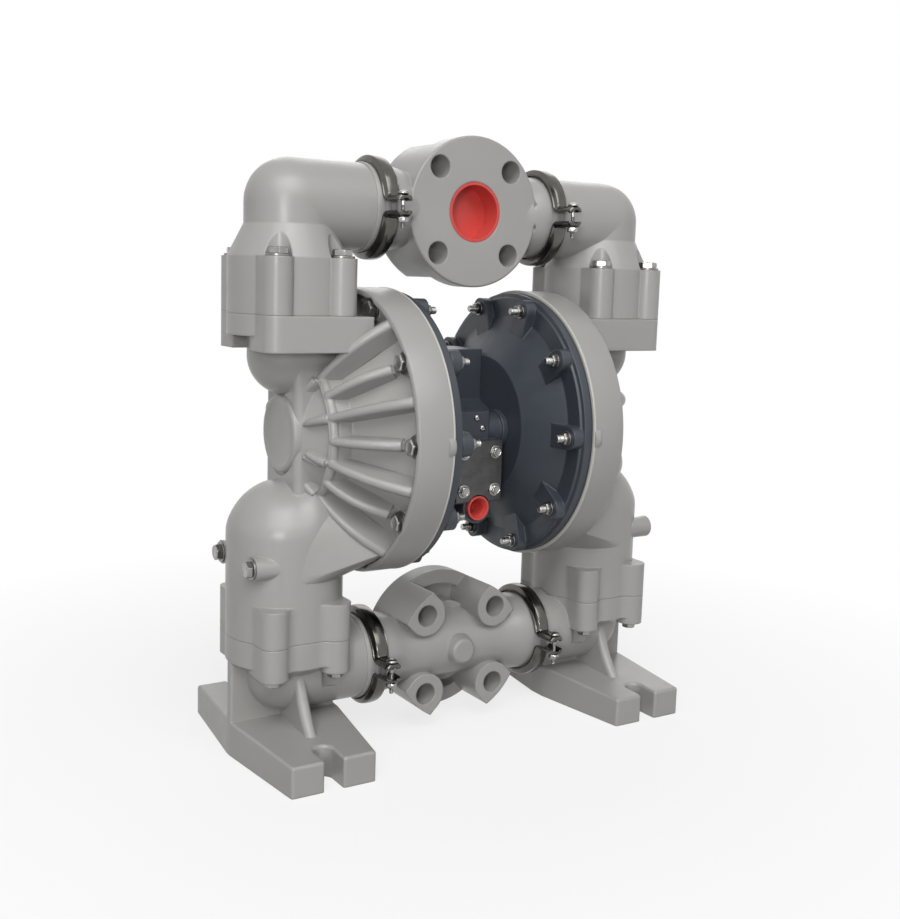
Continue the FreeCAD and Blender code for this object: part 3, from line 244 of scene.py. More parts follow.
class Finish(Enum):
    """Every finish of the pump."""

    GREY = Plastic("grey_plastic", (0.345, 0.339, 0.328), rough=0.33, edge=0.0024)
    # The rim edges' pale colour is a painted highlight: light caught on the rounded chamber edge, not a lighter
    # plastic.
    CREAM = Plastic("cream_edge", (0.50, 0.49, 0.45), clouds=0.03, rough=0.4, edge=0.0005)
    DARK = Plastic("dark_plastic", (0.038, 0.046, 0.058), clouds=0.06, rough=0.4, grain=0.00006, edge=0.0022)
    RED = Plastic("red_cap_plastic", (0.60, 0.066, 0.056), clouds=0.03, rough=0.36, edge=0.0006)
    WHITE = Plastic("white_plastic", (0.72, 0.70, 0.64), clouds=0.03, rough=0.35, edge=0.0005)
    BLACK = Plastic("black_plastic", (0.02, 0.02, 0.021), clouds=0.1, rough=0.5)
    RUBBER = Plastic("black_rubber", (0.018, 0.018, 0.018), clouds=0.15, rough=0.65, grain=0.0001)
    BRIGHT = Steel("bright_steel", (0.37, 0.365, 0.355), rough=0.22)
    ZINC = Steel("zinc_steel", (0.50, 0.495, 0.48), rough=0.34, stain=0.6)
    DULL = Steel("washer_steel", (0.27, 0.265, 0.255), rough=0.32)
    # The band's base colour is set very dark to paint in a dark reflection of its surroundings; its duller
    # patches and marks are its own.
    BAND = Steel("band_steel", (0.125, 0.12, 0.11), rough=0.2, stain=0.85, blur=0.03)
    PLATE = Steel("cover_steel", (0.10, 0.10, 0.10), rough=0.4, stain=0.8)
    ALUMINIUM = Steel("turned_aluminium", (0.74, 0.74, 0.75), rough=0.35, stain=0.9)

    def built(self) -> bpy.types.Material:
        """The finish's material, built once."""
        return bpy.data.materials.get(self.value.name) or self.value.material()


# The finish of each CAD node. A name that starts with * stands for both sides.
NODE_FINISHES: dict[Finish, tuple[str, ...]] = {
    Finish.GREY: ("*_fluid_cap", "*_discharge_elbow", "*_foot_elbow", "discharge_tee", "suction_tee"),
    Finish.DARK: ("*_air_cap", "center_body", "air_valve_body"),
    Finish.RED: ("discharge_flange_cap", "suction_flange_cap", "air_inlet_plug"),
    Finish.WHITE: ("*_suction_ball_seat", "*_discharge_ball_seat", "rod_bushes", "air_valve_spool"),
    Finish.BLACK: ("exhaust_muffler",),
    Finish.RUBBER: ("*_diaphragm", "discharge_seat_seals", "suction_seat_seals", "*_suction_ball",
                    "*_discharge_ball"),
    Finish.BRIGHT: ("*_chamber_bolts", "*_chamber_washers", "*_chamber_nuts", "discharge_bolts",
                    "discharge_washers", "suction_bolts", "suction_washers", "drain_screws",
                    "drain_screw_washers", "clamp_bolts", "clamp_nuts", "cover_screws",
                    "diaphragm_rod", "pilot_pin"),
    Finish.BAND: ("*_discharge_clamp", "*_suction_clamp"),
    Finish.PLATE: ("air_valve_cover",),
    Finish.ALUMINIUM: ("*_inner_diaphragm_plate", "*_outer_diaphragm_plate"),
}


@dataclass(frozen=True)
class Shell:
    """A closed surface held as arrays.

    Attributes:
        points: Corner places, one row each, in metres.
        quads: Four corner numbers a row.
        tris: Three corner numbers a row.
    """

    points: np.ndarray
    quads: np.ndarray
    tris: np.ndarray

    @staticmethod
    def through(rings: np.ndarray, loop: bool = False) -> "Shell":
        """Join rings of points with quads.

        Ring i, point j is at row i * m + j. Each quad takes points j and j + 1 of ring i and of ring i + 1,
        counted round. The end rings are closed by a fan to their mean point, or joined to each other.

        Args:
            rings: Points with shape (n, m, 3).
            loop: Join the last ring to the first.

        Returns:
            The closed surface, its faces outwards.
        """
        count, around = rings.shape[:2]
        points = rings.reshape(-1, 3)
        steps = count if loop else count - 1
        i, j = np.meshgrid(np.arange(steps), np.arange(around), indexing="ij")
        here, there = i * around, ((i + 1) % count) * around
        after = (j + 1) % around
        quads = np.stack([here + j, here + after, there + after, there + j], axis=-1).reshape(-1, 4)
        tris = np.zeros((0, 3), dtype=int)
        if not loop:
            ends = np.stack([rings[0].mean(axis=0), rings[-1].mean(axis=0)])
            k = np.arange(around)
            first, last = len(points), len(points) + 1
            low = np.stack([(k + 1) % around, k, np.full(around, first)], axis=-1)
            base = (count - 1) * around
            high = np.stack([base + k, base + (k + 1) % around, np.full(around, last)], axis=-1)
            points = np.concatenate([points, ends])
            tris = np.concatenate([low, high])
        shell = Shell(points, quads, tris)
        return shell if shell.volume() > 0 else shell.flipped()

    def volume(self) -> float:
        """Signed volume: a sixth of the sum of each triangle's triple product.

        Returns:
            Cubic metres, negative where the faces point inwards.
        """
        parts = np.concatenate([self.quads[:, [0, 1, 2]], self.quads[:, [0, 2, 3]], self.tris])
        a, b, c = (self.points[parts[:, k]] for k in range(3))
        return float(np.einsum("ij,ij->i", a, np.cross(b, c)).sum() / 6.0)

    def flipped(self) -> "Shell":
        """The same surface with its faces turned over."""
        return Shell(self.points, self.quads[:, ::-1], self.tris[:, ::-1])

    def placed(self, frames: np.ndarray) -> "Shell":
        """Copies of the surface, one for each 4 by 4 frame: turned by its axes and moved to its origin.

        Args:
            frames: Frames with shape (k, 4, 4), right handed.

        Returns:
            All copies in one.
        """
        frames = frames.reshape(-1, 4, 4)
        points = np.einsum("kab,nb->kna", frames[:, :3, :3], self.points) + frames[:, None, :3, 3]
        shift = (np.arange(len(frames)) * len(self.points))[:, None, None]
        return Shell(points.reshape(-1, 3), (self.quads[None] + shift).reshape(-1, 4),
                     (self.tris[None] + shift).reshape(-1, 3))

    @staticmethod
    def merged(shells: list["Shell"]) -> "Shell":
        """Several surfaces in one.

        Args:
            shells: The surfaces.

        Returns:
            All of them, their corner numbers shifted.
        """
        starts = np.cumsum([0] + [len(shell.points) for shell in shells[:-1]])
        return Shell(np.concatenate([shell.points for shell in shells]),
                     np.concatenate([shell.quads + start for shell, start in zip(shells, starts)]),
                     np.concatenate([shell.tris + start for shell, start in zip(shells, starts)]))


def rows(*columns: float | np.ndarray) -> np.ndarray:
    """Numbers of one shape, or that spread to one, side by side on a last axis."""
    return np.stack(np.broadcast_arrays(*columns), axis=-1)


def frames_at(places: np.ndarray, axes: np.ndarray, spin: float = 0.0) -> np.ndarray:
    """Frames whose Z runs along each axis.

    X is the axis' cross product with the world axis least like it, Y completes a right-handed set, and both
    are turned about Z by the spin.

    Args:
        places: Origins with shape (k, 3).
        axes: Directions with shape (k, 3) or (3,).
        spin: Turn about the axis in degrees.

    Returns:
        Frames with shape (k, 4, 4).
    """
    places = np.atleast_2d(np.asarray(places, dtype=float))
    z = np.broadcast_to(np.asarray(axes, dtype=float), places.shape)
    z = z / np.linalg.norm(z, axis=1, keepdims=True)
    helper = np.eye(3)[np.abs(z).argmin(axis=1)]
    x = np.cross(helper, z)
    x = x / np.linalg.norm(x, axis=1, keepdims=True)
    y = np.cross(z, x)
    turn = math.radians(spin)
    frames = np.zeros((len(places), 4, 4))
    frames[:, :3, 0] = math.cos(turn) * x + math.sin(turn) * y
    frames[:, :3, 1] = -math.sin(turn) * x + math.cos(turn) * y
    frames[:, :3, 2] = z
    frames[:, :3, 3] = places
    frames[:, 3, 3] = 1.0
    return frames


def raised(height: float) -> np.ndarray:
    """The frame of a move along Z."""
    return frames_at([[0.0, 0.0, height]], (0.0, 0.0, 1.0))


def across(side: Side, *heights: float) -> np.ndarray:
    """Frames in the middle plane at some heights, whose Z runs to a side."""
    return frames_at([[0.0, 0.0, height] for height in heights], (float(side.value), 0.0, 0.0))


def swept(radius: np.ndarray, angle: np.ndarray, height: np.ndarray, loop: bool = False) -> Shell:
    """The surface through points given by radius, angle and height, a ring a row."""
    return Shell.through(rows(radius * np.cos(angle), radius * np.sin(angle), height), loop)


def lathe(profile: np.ndarray, around: int = 48, loop: bool = False) -> Shell:
    """A turned surface: each profile point (radius, height) swept round Z in even steps.

    Args:
        profile: Radius and height pairs with shape (n, 2).
        around: Points in a ring.
        loop: The profile is a closed outline, as of a washer.

    Returns:
        The closed surface.
    """
    angle = np.linspace(0.0, 2 * math.pi, around, endpoint=False)
    radius, height = profile.T[:, :, None]
    return swept(radius, angle, height, loop)


def bar(radius: float, start: float, end: float) -> Shell:
    """A plain round bar along Z between two heights."""
    return lathe(np.array([(radius, start), (radius, end)]), 24)


def six_sided(profile: np.ndarray, flats: float, around: int = 72, loop: bool = False) -> Shell:
    """A chamfered hexagon: the radius is the smaller of the profile's and of the six flats'.

    The flats' radius at an angle is half the width over the cosine of the angle to the nearest flat's middle.

    Args:
        profile: Radius and height pairs with shape (n, 2), where the radius limits the corners.
        flats: Width over the flats in metres.
        around: Points in a ring, a multiple of twelve.
        loop: The profile is a closed outline round a bore.

    Returns:
        The closed surface.
    """
    angle = np.linspace(0.0, 2 * math.pi, around, endpoint=False)
    limit = flats / 2 / np.cos(np.mod(angle, math.pi / 3) - math.pi / 6)
    radius, height = profile.T[:, :, None]
    return swept(np.minimum(radius, limit), angle, height, loop)


def threaded(radius: float, depth: float, pitch: float, start: float, end: float, around: int = 24) -> Shell:
    """A threaded rod: radius less a triangle wave of turn plus height over pitch, tapered at its tip.

    Args:
        radius: Outer radius in metres.
        depth: Thread depth in metres.
        pitch: Rise in a turn in metres.
        start: Lower end in metres.
        end: Tip in metres.
        around: Points in a ring.

    Returns:
        The closed surface.
    """
    angle = np.linspace(0.0, 2 * math.pi, around, endpoint=False)[None, :]
    height = np.linspace(start, end, max(4, int((end - start) / pitch * 6)))[:, None]
    phase = np.mod(height / pitch - angle / (2 * math.pi), 1.0)
    reach = radius - depth * np.abs(2 * phase - 1)
    return swept(np.minimum(reach, radius - depth + (end - height) * 0.9), angle, height)


def eased(values: np.ndarray, low: float, high: float) -> np.ndarray:
    """A smooth step from 0 at the low value to 1 at the high one: three t squared less two t cubed."""
    share = np.clip((values - low) / (high - low), 0.0, 1.0)
    return share * share * (3 - 2 * share)


def piece(name: str, shell: Shell, finish: Finish, body: str, replaces: tuple[str, ...] = (),
          smooth: float = 32.0) -> bpy.types.Object:
    """Make an object of a surface and let it ride on a body.

    Args:
        name: The object's name.
        shell: Its surface.
        finish: Its finish.
        body: The body it moves with.
        replaces: The CAD nodes it stands for.
        smooth: Edges sharper than this many degrees stay crisp.

    Returns:
        The object.
    """
    mesh = bpy.data.meshes.new(name)
    loops = np.concatenate([shell.quads.ravel(), shell.tris.ravel()])
    sizes = np.concatenate([np.full(len(shell.quads), 4), np.full(len(shell.tris), 3)])
    starts = np.concatenate([[0], np.cumsum(sizes)[:-1]])
    mesh.vertices.add(len(shell.points))
    mesh.vertices.foreach_set("co", shell.points.astype(np.float32).ravel())
    mesh.loops.add(len(loops))
    mesh.loops.foreach_set("vertex_index", loops.astype(np.int32))
    mesh.polygons.add(len(sizes))
    mesh.polygons.foreach_set("loop_start", starts.astype(np.int32))
    mesh.polygons.foreach_set("loop_total", sizes.astype(np.int32))
    mesh.polygons.foreach_set("use_smooth", np.ones(len(sizes), dtype=bool))
    mesh.update(calc_edges=True)
    mesh.validate()
    mesh.set_sharp_from_angle(angle=math.radians(smooth))
    mesh.materials.append(finish.built())
    made = bpy.data.objects.new(name, mesh)
    bpy.context.scene.collection.objects.link(made)
    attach(made, body)
    if replaces:
        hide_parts(*replaces)
    log.info("piece %s: %d faces, on %s", name, len(sizes), body)
    return made


def dress(node: bpy.types.Object, finish: Finish) -> None:
    """Give a CAD node a finish in every material slot.

    Args:
        node: The node's object.
        finish: Its finish.
    """
    material = finish.built()
    if not node.material_slots:
        node.data.materials.append(material)
    for slot in node.material_slots:
        slot.material = material


def washer(outer: float, bore: float, thickness: float, soft: float = 0.25 * MM) -> Shell:
    """A flat washer with eased edges: a rounded rectangle swept round Z, its underside at zero.

    Args:
        outer: Outer radius in metres.
        bore: Hole radius in metres.
        thickness: Height in metres.
        soft: Size of the eased edges in metres.

    Returns:
        The closed surface.
    """
    profile = [(bore, soft), (bore + soft, 0.0), (outer - soft, 0.0), (outer, soft),
               (outer, thickness - soft), (outer - soft, thickness), (bore + soft, thickness),
               (bore, thickness - soft)]
    return lathe(np.array(profile), 48, loop=True)


def bolt_head(flats: float, height: float) -> Shell:
    """A hexagon head: chamfered corners, a shallow dished top and a washer face, its underside at zero.

    Args:
        flats: Width over the flats in metres.
        height: Head height in metres.

    Returns:
        The closed surface.
    """
    corner = flats / math.sqrt(3)
    inside = flats / 2
    profile = [(inside * 0.96, 0.0), (inside * 0.98, 0.3 * MM), (corner * 0.985, 0.35 * MM),
               (corner, 0.9 * MM), (corner, height - 1.5 * MM), (corner * 0.95, height - 0.75 * MM),
               (inside * 0.93, height - 0.1 * MM), (inside * 0.88, height),
               (inside * 0.72, height - 0.05 * MM), (inside * 0.62, height - 0.45 * MM),
               (inside * 0.2, height - 0.55 * MM)]
    return six_sided(np.array(profile), flats)


def nut(flats: float, bore: float, height: float) -> Shell:
    """A hexagon nut chamfered at both ends, its bore countersunk, its underside at zero.

    Args:
        flats: Width over the flats in metres.
        bore: Hole radius in metres.
        height: Nut height in metres.

    Returns:
        The closed surface.
    """
    corner = flats / math.sqrt(3)
    inside = flats / 2
    rise, sink = 1.1 * MM, 0.6 * MM
    profile = [(bore, sink), (bore + sink, 0.0), (inside * 0.95, 0.0), (corner, rise),
               (corner, height - rise), (inside * 0.95, height), (bore + sink, height),
               (bore, height - sink)]
    return six_sided(np.array(profile), flats, loop=True)


def shank(radius: float, start: float, end: float, thread_from: float, pitch: float) -> Shell:
    """A bolt's plain shank and its threaded tip, along Z.

    Args:
        radius: Outer radius in metres.
        start: Where the shank starts.
        end: The tip.
        thread_from: Where the thread starts.
        pitch: Rise in a turn in metres.

    Returns:
        The closed surfaces.
    """
    thread = threaded(radius, 0.6 * pitch, pitch, thread_from - 0.2 * MM, end)
    return Shell.merged([bar(radius, start, thread_from), thread])


@dataclass(frozen=True)
class Bolt:
    """Sizes of a hexagon head bolt and of the washer under its head.

    Attributes:
        flats: Width over the flats.
        head_height: Height of the head.
        washer_radius: Outer radius of the washer.
        washer_height: Its thickness.
        radius: Shank radius.
        turn: How far the head is turned, degrees.
        gap: Between the shank and the washer's bore.
    """

    flats: float
    head_height: float
    washer_radius: float
    washer_height: float
    radius: float
    turn: float
    gap: float = 0.2 * MM

    def shell(self, depth: float) -> Shell:
        """The head over its washer with a plain shank down to a depth, the washer's underside at zero."""
        head = bolt_head(self.flats, self.head_height).placed(raised(self.washer_height))
        return Shell.merged([head, bar(self.radius, -depth, self.washer_height + 1 * MM)])

    def disc(self) -> Shell:
        """The washer."""
        return washer(self.washer_radius, self.radius + self.gap, self.washer_height)

    def frames(self, places: np.ndarray, axis: tuple) -> np.ndarray:
        """Frames for both at some places, turned like the head."""
        return frames_at(places, axis, self.turn)


@dataclass
class ChamberFasteners:
    """The ten bolts of one chamber, with washers under heads and nuts.

    Attributes:
        side: The chamber's side.
        circle: Bolt circle radius.
        count: Bolts on the circle.
        head_seat: Reach of the plane under the head washers.
        nut_seat: Reach of the plane under the nut washers.
        tip: Reach of the bolt tips.
        bolt: Sizes of the bolts.
        pitch: Rise of their thread in a turn.
        thread: Its length.
        nut: Sizes of the nuts and of the washers under them.
    """

    side: Side
    circle: float = 130.0 * MM
    count: int = 10
    head_seat: float = 116.0 * MM
    nut_seat: float = 60.0 * MM
    tip: float = 46.0 * MM
    bolt: Bolt = Bolt(15.2 * MM, 7.0 * MM, 11.2 * MM, 2.0 * MM, 3.9 * MM, 12.0)
    pitch: float = 1.5 * MM
    thread: float = 20.0 * MM
    nut: Bolt = Bolt(11.4 * MM, 5.0 * MM, 7.4 * MM, 2.0 * MM, 3.9 * MM, 4.0)

    def places(self, reach: float) -> np.ndarray:
        """Points on the bolt circle at a reach, the first level at the front."""
        angle = 2 * math.pi * np.arange(self.count) / self.count
        return rows(self.side.value * reach, -self.circle * np.cos(angle),
                    ROD_HEIGHT + self.circle * np.sin(angle))

    def build(self) -> None:
        """Make bolts, washers and nuts."""
        word, outward, inward = self.side.word, (self.side.value, 0.0, 0.0), (-self.side.value, 0.0, 0.0)
        heads = self.bolt.frames(self.places(self.head_seat), outward)
        nuts = self.nut.frames(self.places(self.nut_seat), inward)
        length = self.head_seat - self.tip
        plain = length - self.thread
        tip = shank(self.bolt.radius, plain - 4 * MM, length, plain, self.pitch)
        bolts = Shell.merged([self.bolt.shell(plain - 3 * MM).placed(heads),
                              tip.placed(frames_at(self.places(self.head_seat), inward))])
        piece(f"{word}_chamber_bolt_set", bolts, Finish.ZINC, "housing", (f"{word}_chamber_bolts",))
        discs = Shell.merged([self.bolt.disc().placed(heads), self.nut.disc().placed(nuts)])
        piece(f"{word}_chamber_washer_set", discs, Finish.DULL, "housing", (f"{word}_chamber_washers",))
        block = nut(self.nut.flats, self.nut.radius, self.nut.head_height)
        blocks = block.placed(raised(self.nut.washer_height)).placed(nuts)
        piece(f"{word}_chamber_nut_set", blocks, Finish.DULL, "housing", (f"{word}_chamber_nuts",))


@dataclass
class ColumnFasteners:
    """The eight bolts of the upper or the lower column joints.

    Attributes:
        name: Name stem of the CAD nodes.
        seat: Height of the plane under the washers.
        way: Sign of Z that the heads face.
        length: How far the shank goes beyond the seat.
        bolt: Sizes of the bolts.
        column: Reach of the columns' axes.
        across: Distance of the bolts from the column's axis along X.
        deep: And along Y.
    """

    name: str
    seat: float
    way: int
    length: float
    bolt: Bolt
    column: float = 190.0 * MM
    across: float = 33.0 * MM
    deep: float = 51.0 * MM

    def build(self) -> None:
        """Make bolts and washers."""
        places = [[s * self.column + a * self.across, y, self.seat] for s in (-1, 1) for a in (-1, 1)
                  for y in (-self.deep, self.deep)]
        frames = self.bolt.frames(places, (0.0, 0.0, self.way))
        bolts, discs = self.bolt.shell(self.length).placed(frames), self.bolt.disc().placed(frames)
        piece(f"{self.name}_bolt_set", bolts, Finish.BRIGHT, "housing", (f"{self.name}_bolts",))
        piece(f"{self.name}_washer_set", discs, Finish.DULL, "housing", (f"{self.name}_washers",))


@dataclass
class DrainScrews:
    """The two screws in the ends of the left drain bosses.

    Attributes:
        reach: The boss ends, from the middle.
        apart: Distance of each from the middle plane.
        height: Their height.
        length: How far the shank goes into the boss.
        bolt: Sizes of the screws.
    """

    reach: float = 241.0 * MM
    apart: float = 40.0 * MM
    height: float = ROD_HEIGHT - 124.0 * MM
    length: float = 16.0 * MM
    bolt: Bolt = Bolt(14.7 * MM, 6.0 * MM, 10.5 * MM, 2.0 * MM, 5.0 * MM, 22.0)

    def build(self) -> None:
        """Make screws and washers."""
        places = [[-self.reach, s * self.apart, self.height] for s in (-1, 1)]
        frames = self.bolt.frames(places, (-1.0, 0.0, 0.0))
        screws, discs = self.bolt.shell(self.length).placed(frames), self.bolt.disc().placed(frames)
        piece("drain_screw_set", screws, Finish.BRIGHT, "housing", ("drain_screws",))
        piece("drain_washer_set", discs, Finish.DULL, "housing", ("drain_screw_washers",))


@dataclass
class Clamp:
    """One band clamp: two formed halves that close over the pipe lips.

    Attributes:
        side: The clamp's side.
        name: "discharge" or "suction".
        height: Height of the pipe axis.
        reach: Reach of the band's middle.
        middle_radius: Radius of the middle of the band's wall.
        thickness: Of the wall.
        half_width: Half the band's width.
        split: Height of the ears' walls over the pipe axis.
        bend: Radius of the arc between ear and band.
        ear_tip: Distance of the ears' ends from the pipe axis.
        ear_half: Half an ear's width.
        counts: Points along the ear, the arc and a quarter of the band.
    """

    side: Side
    name: str
    height: float
    reach: float = 102.0 * MM
    middle_radius: float = 49.3 * MM
    thickness: float = 1.9 * MM
    half_width: float = 9.6 * MM
    split: float = 9.9 * MM
    bend: float = 4.0 * MM
    ear_tip: float = 74.5 * MM
    ear_half: float = 8.6 * MM
    counts: tuple = (18, 7, 26)

    def line(self) -> tuple[np.ndarray, np.ndarray, np.ndarray]:
        """The path of the upper half in the YZ plane.

        It runs in along the front ear, turns up by a small arc, follows the band over the top and comes out
        along the back ear. Each point has a normal that points away from the pipe or the split.

        Returns:
            Points (n, 2), normals (n, 2) and how much of the section is band (n,), from 0 at the ears to 1.
        """
        flat, curved, round_about = self.counts
        centre_z = self.split + self.bend
        centre_y = math.sqrt((self.middle_radius + self.bend) ** 2 - centre_z ** 2)
        join = math.atan2(centre_z, centre_y)
        ear = self.ear_tip - (self.ear_tip - centre_y) * np.linspace(0, 1, flat) ** 1.7
        turn = np.linspace(-math.pi / 2, -math.pi + join, curved + 2)[1:-1]
        inward = rows(np.cos(turn), np.sin(turn))
        swing = np.linspace(join, math.pi / 2, round_about)
        outward = rows(np.cos(swing), np.sin(swing))
        points = np.concatenate([rows(ear, self.split), [centre_y, centre_z] + self.bend * inward,
                                 self.middle_radius * outward])
        normals = np.concatenate([np.tile([0.0, 1.0], (flat, 1)), -inward, outward])
        part = np.concatenate([np.zeros(flat), np.linspace(0, 0.35, curved),
                               np.clip(np.linspace(0.4, 3.0, round_about), 0, 1)])
        points = np.concatenate([points, (points * [-1, 1])[-2::-1]])
        normals = np.concatenate([normals, (normals * [-1, 1])[-2::-1]])
        return points, normals, np.concatenate([part, part[-2::-1]])

    def half(self, up: bool) -> Shell:
        """One half: a section carried along the line.

        Across the width u from -1 to 1 the band's outside is half an ellipse that falls steeply beyond six
        tenths of the width and flares out again at its lips. The ears are channels: level in the middle, with
        sides that turn towards the split by a power of the width, and an end that turns with them. Inside
        runs a wall's thickness below, and the corners of the ears are rounded by a steep superellipse.

        Args:
            up: The upper half, or the lower.

        Returns:
            The closed surface.
        """
        points, normals, part = self.line()
        u = np.linspace(-1, 1, 41)
        crown = 2.7 * MM * np.sqrt(np.clip(1 - (u / 0.96) ** 2, 0, 1)) - 1.0 * MM
        fall = -4.3 * MM * np.clip((np.abs(u) - 0.6) / 0.28, 0, 1) ** 1.3
        flare = 1.9 * MM * np.clip((np.abs(u) - 0.84) / 0.16, 0, 1) ** 1.5
        shape = crown + fall + flare
        depth = np.abs(points[:, :1])
        end = np.clip((depth - self.ear_tip + 4.5 * MM) / (4.5 * MM), 0, 1) ** 2
        side_lip = np.clip((np.abs(u) - 0.45) / 0.55, 0, 1) ** 1.6
        ear_shape = -4.1 * MM * np.maximum(side_lip, 0.6 * end)
        outside = part[:, None] * shape + (1 - part[:, None]) * ear_shape
        width = part * self.half_width + (1 - part) * self.ear_half
        tip = np.clip((self.ear_tip - depth[:, 0]) / (0.6 * self.ear_half), 0.01, 1)
        width = width * (1 - (1 - tip) ** 3) ** (1 / 3)
        lift = np.concatenate([outside + self.thickness / 2, outside[:, ::-1] - self.thickness / 2], axis=1)
        x = self.side.value * self.reach + width[:, None] * np.concatenate([u, u[::-1]])
        y = points[:, :1] + normals[:, :1] * lift
        z = points[:, 1:] + normals[:, 1:] * lift
        return Shell.through(rows(x, y, self.height + (z if up else -z)))

    def build(self) -> None:
        """Make both halves."""
        name = f"{self.side.word}_{self.name}_clamp"
        halves = Shell.merged([self.half(True), self.half(False)])
        # The band finish's dark colour is a painted reflection of dark surroundings.
        piece(f"{name}_band", halves, Finish.BAND, "housing", (name,), smooth=40.0)


@dataclass
class FluidCap:
    """One wetted chamber half: its casting with the dome set lower, full round ribs and the port's shoulder.

    Places are given as reach from the pump's middle, radius from the rod's axis and angle round it, level at
    the front and growing upwards.

    Attributes:
        side: The chamber's side.
        column: Reach of the suction column's axis.
        dome_radius: Radius of the column and of its dome.
        dome_height: Height of the dome's centre in the solid.
        drop: How much lower the dome stands.
        drop_low: Heights between which the drop sets in.
        drop_high: Heights between which it fades over the dome.
        drop_reach: Reaches between which it sets in past the column's inner side.
        drop_within: Distance from the column's axis that it stays within.
        drop_beyond: Distance from the same axis and the dome's centre that is left alone, the hollow.
        rib_depth: How far a rib's sides reach into the casting.
        rib_count: Ribs of each kind.
        rib_top: Upper end of the long ribs, a reach and a radius.
        rib_ends: Lower ends of the ribs between the bolts and at the bolts.
        hub_rib: Both ends of the short ribs at the hub.
        rib_bulges: Height of the arch of a long and of a short rib.
        rib_widths: Half widths at both ends, between the bolts, at the bolts and at the hub.
        ring: Reach and radius of the middle of the ring's section.
        ring_size: Half the section's sizes along and away from the rod's axis.
        shoulder_bottom: Height of the shoulder's underside at the column.
        shoulder_angle: Angle of the ribs that border the shoulder, degrees.
        lean: Where the shoulder leaves the column, in degrees outwards from its front and back.
        shoulder_arch: How far it goes up the dome, degrees.
        shoulder_top: Its inner end along the bordering ribs, a reach and a radius.
        shoulder_rim: Its end at the rim.
        side_run: How far it reaches inwards along the bordering ribs.
        side_bulge: Height of the arch on the way.
        passage: Radius of the round passage inside the shoulder.
        passage_ends: Reach of both ends of the passage.
    """

    side: Side
    column: float = 190.0 * MM
    dome_radius: float = 58.0 * MM
    dome_height: float = 230.0 * MM
    drop: float = 12.0 * MM
    drop_low: tuple = (196.0 * MM, 262.0 * MM)
    drop_high: tuple = (292.0 * MM, 330.0 * MM)
    drop_reach: tuple = (170.0 * MM, 197.0 * MM)
    drop_within: float = 59.5 * MM
    drop_beyond: float = 40.0 * MM
    rib_depth: float = 21.0 * MM
    rib_count: int = 10
    rib_top: tuple = (174.0 * MM, 69.0 * MM)
    rib_ends: tuple = ((119.5 * MM, 137.0 * MM), (124.5 * MM, 118.0 * MM))
    hub_rib: tuple = ((188.0 * MM, 47.0 * MM), (177.5 * MM, 69.0 * MM))
    rib_bulges: tuple = (6.0 * MM, 1.5 * MM)
    rib_widths: tuple = ((4.0 * MM, 5.8 * MM), (4.0 * MM, 5.6 * MM), (3.0 * MM, 4.6 * MM))
    ring: tuple = (171.0 * MM, 69.5 * MM)
    ring_size: tuple = (5.0 * MM, 4.0 * MM)
    shoulder_bottom: float = 181.0 * MM
    shoulder_angle: float = -54.0
    lean: float = 16.0
    shoulder_arch: float = 52.0
    shoulder_top: tuple = (168.0 * MM, 70.0 * MM)
    shoulder_rim: tuple = (119.5 * MM, 137.5 * MM)
    side_run: float = 53.0 * MM
    side_bulge: float = 3.0 * MM
    passage: float = 31.0 * MM
    passage_ends: tuple = (128.0 * MM, 144.0 * MM)

    def world(self, reach: np.ndarray, radius: np.ndarray, angle: float | np.ndarray,
              aside: float | np.ndarray = 0.0) -> np.ndarray:
        """Points in the pump's frame.

        Args:
            reach: Distances from the middle.
            radius: Distances from the rod's axis.
            angle: Degrees round the rod's axis.
            aside: Distances to the side of the radial plane.

        Returns:
            Points with one more axis of 3.
        """
        turn = np.radians(angle)
        return rows(self.side.value * reach, -radius * np.cos(turn) + aside * np.sin(turn),
                    ROD_HEIGHT + radius * np.sin(turn) + aside * np.cos(turn))

    def casting(self) -> None:
        """The CAD solid's own surface, welded, its outer dome set lower.

        Each point near the column moves down by the drop times three smooth steps: one of its height up to the
        dome, one that fades above the dome, and one of its reach past the column's inner side.
        """
        word = self.side.word
        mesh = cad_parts[f"{word}_fluid_cap"].data
        mesh.calc_loop_triangles()
        corners = np.empty(len(mesh.loop_triangles) * 3, dtype=np.int32)
        mesh.loop_triangles.foreach_get("vertices", corners)
        places = np.empty(len(mesh.vertices) * 3, dtype=np.float32)
        mesh.vertices.foreach_get("co", places)
        rounded = np.round(places.reshape(-1, 3).astype(float), 6)
        points, where = np.unique(rounded, axis=0, return_inverse=True)
        tris = where.ravel()[corners].reshape(-1, 3)
        flat = (tris[:, 0] == tris[:, 1]) | (tris[:, 1] == tris[:, 2]) | (tris[:, 2] == tris[:, 0])
        reach, height = self.side.value * points[:, 0], points[:, 2]
        away = np.hypot(reach - self.column, points[:, 1])
        outside = np.hypot(away, np.maximum(height - self.dome_height, 0.0)) > self.drop_beyond
        weight = (eased(height, *self.drop_low) * (1 - eased(height, *self.drop_high))
                  * eased(reach, *self.drop_reach) * (away < self.drop_within) * outside)
        points[:, 2] -= self.drop * weight
        surface = Shell(points, np.zeros((0, 4), dtype=int), tris[~flat])
        piece(f"{word}_chamber_casting", surface, Finish.GREY, "housing", (f"{word}_fluid_cap",))

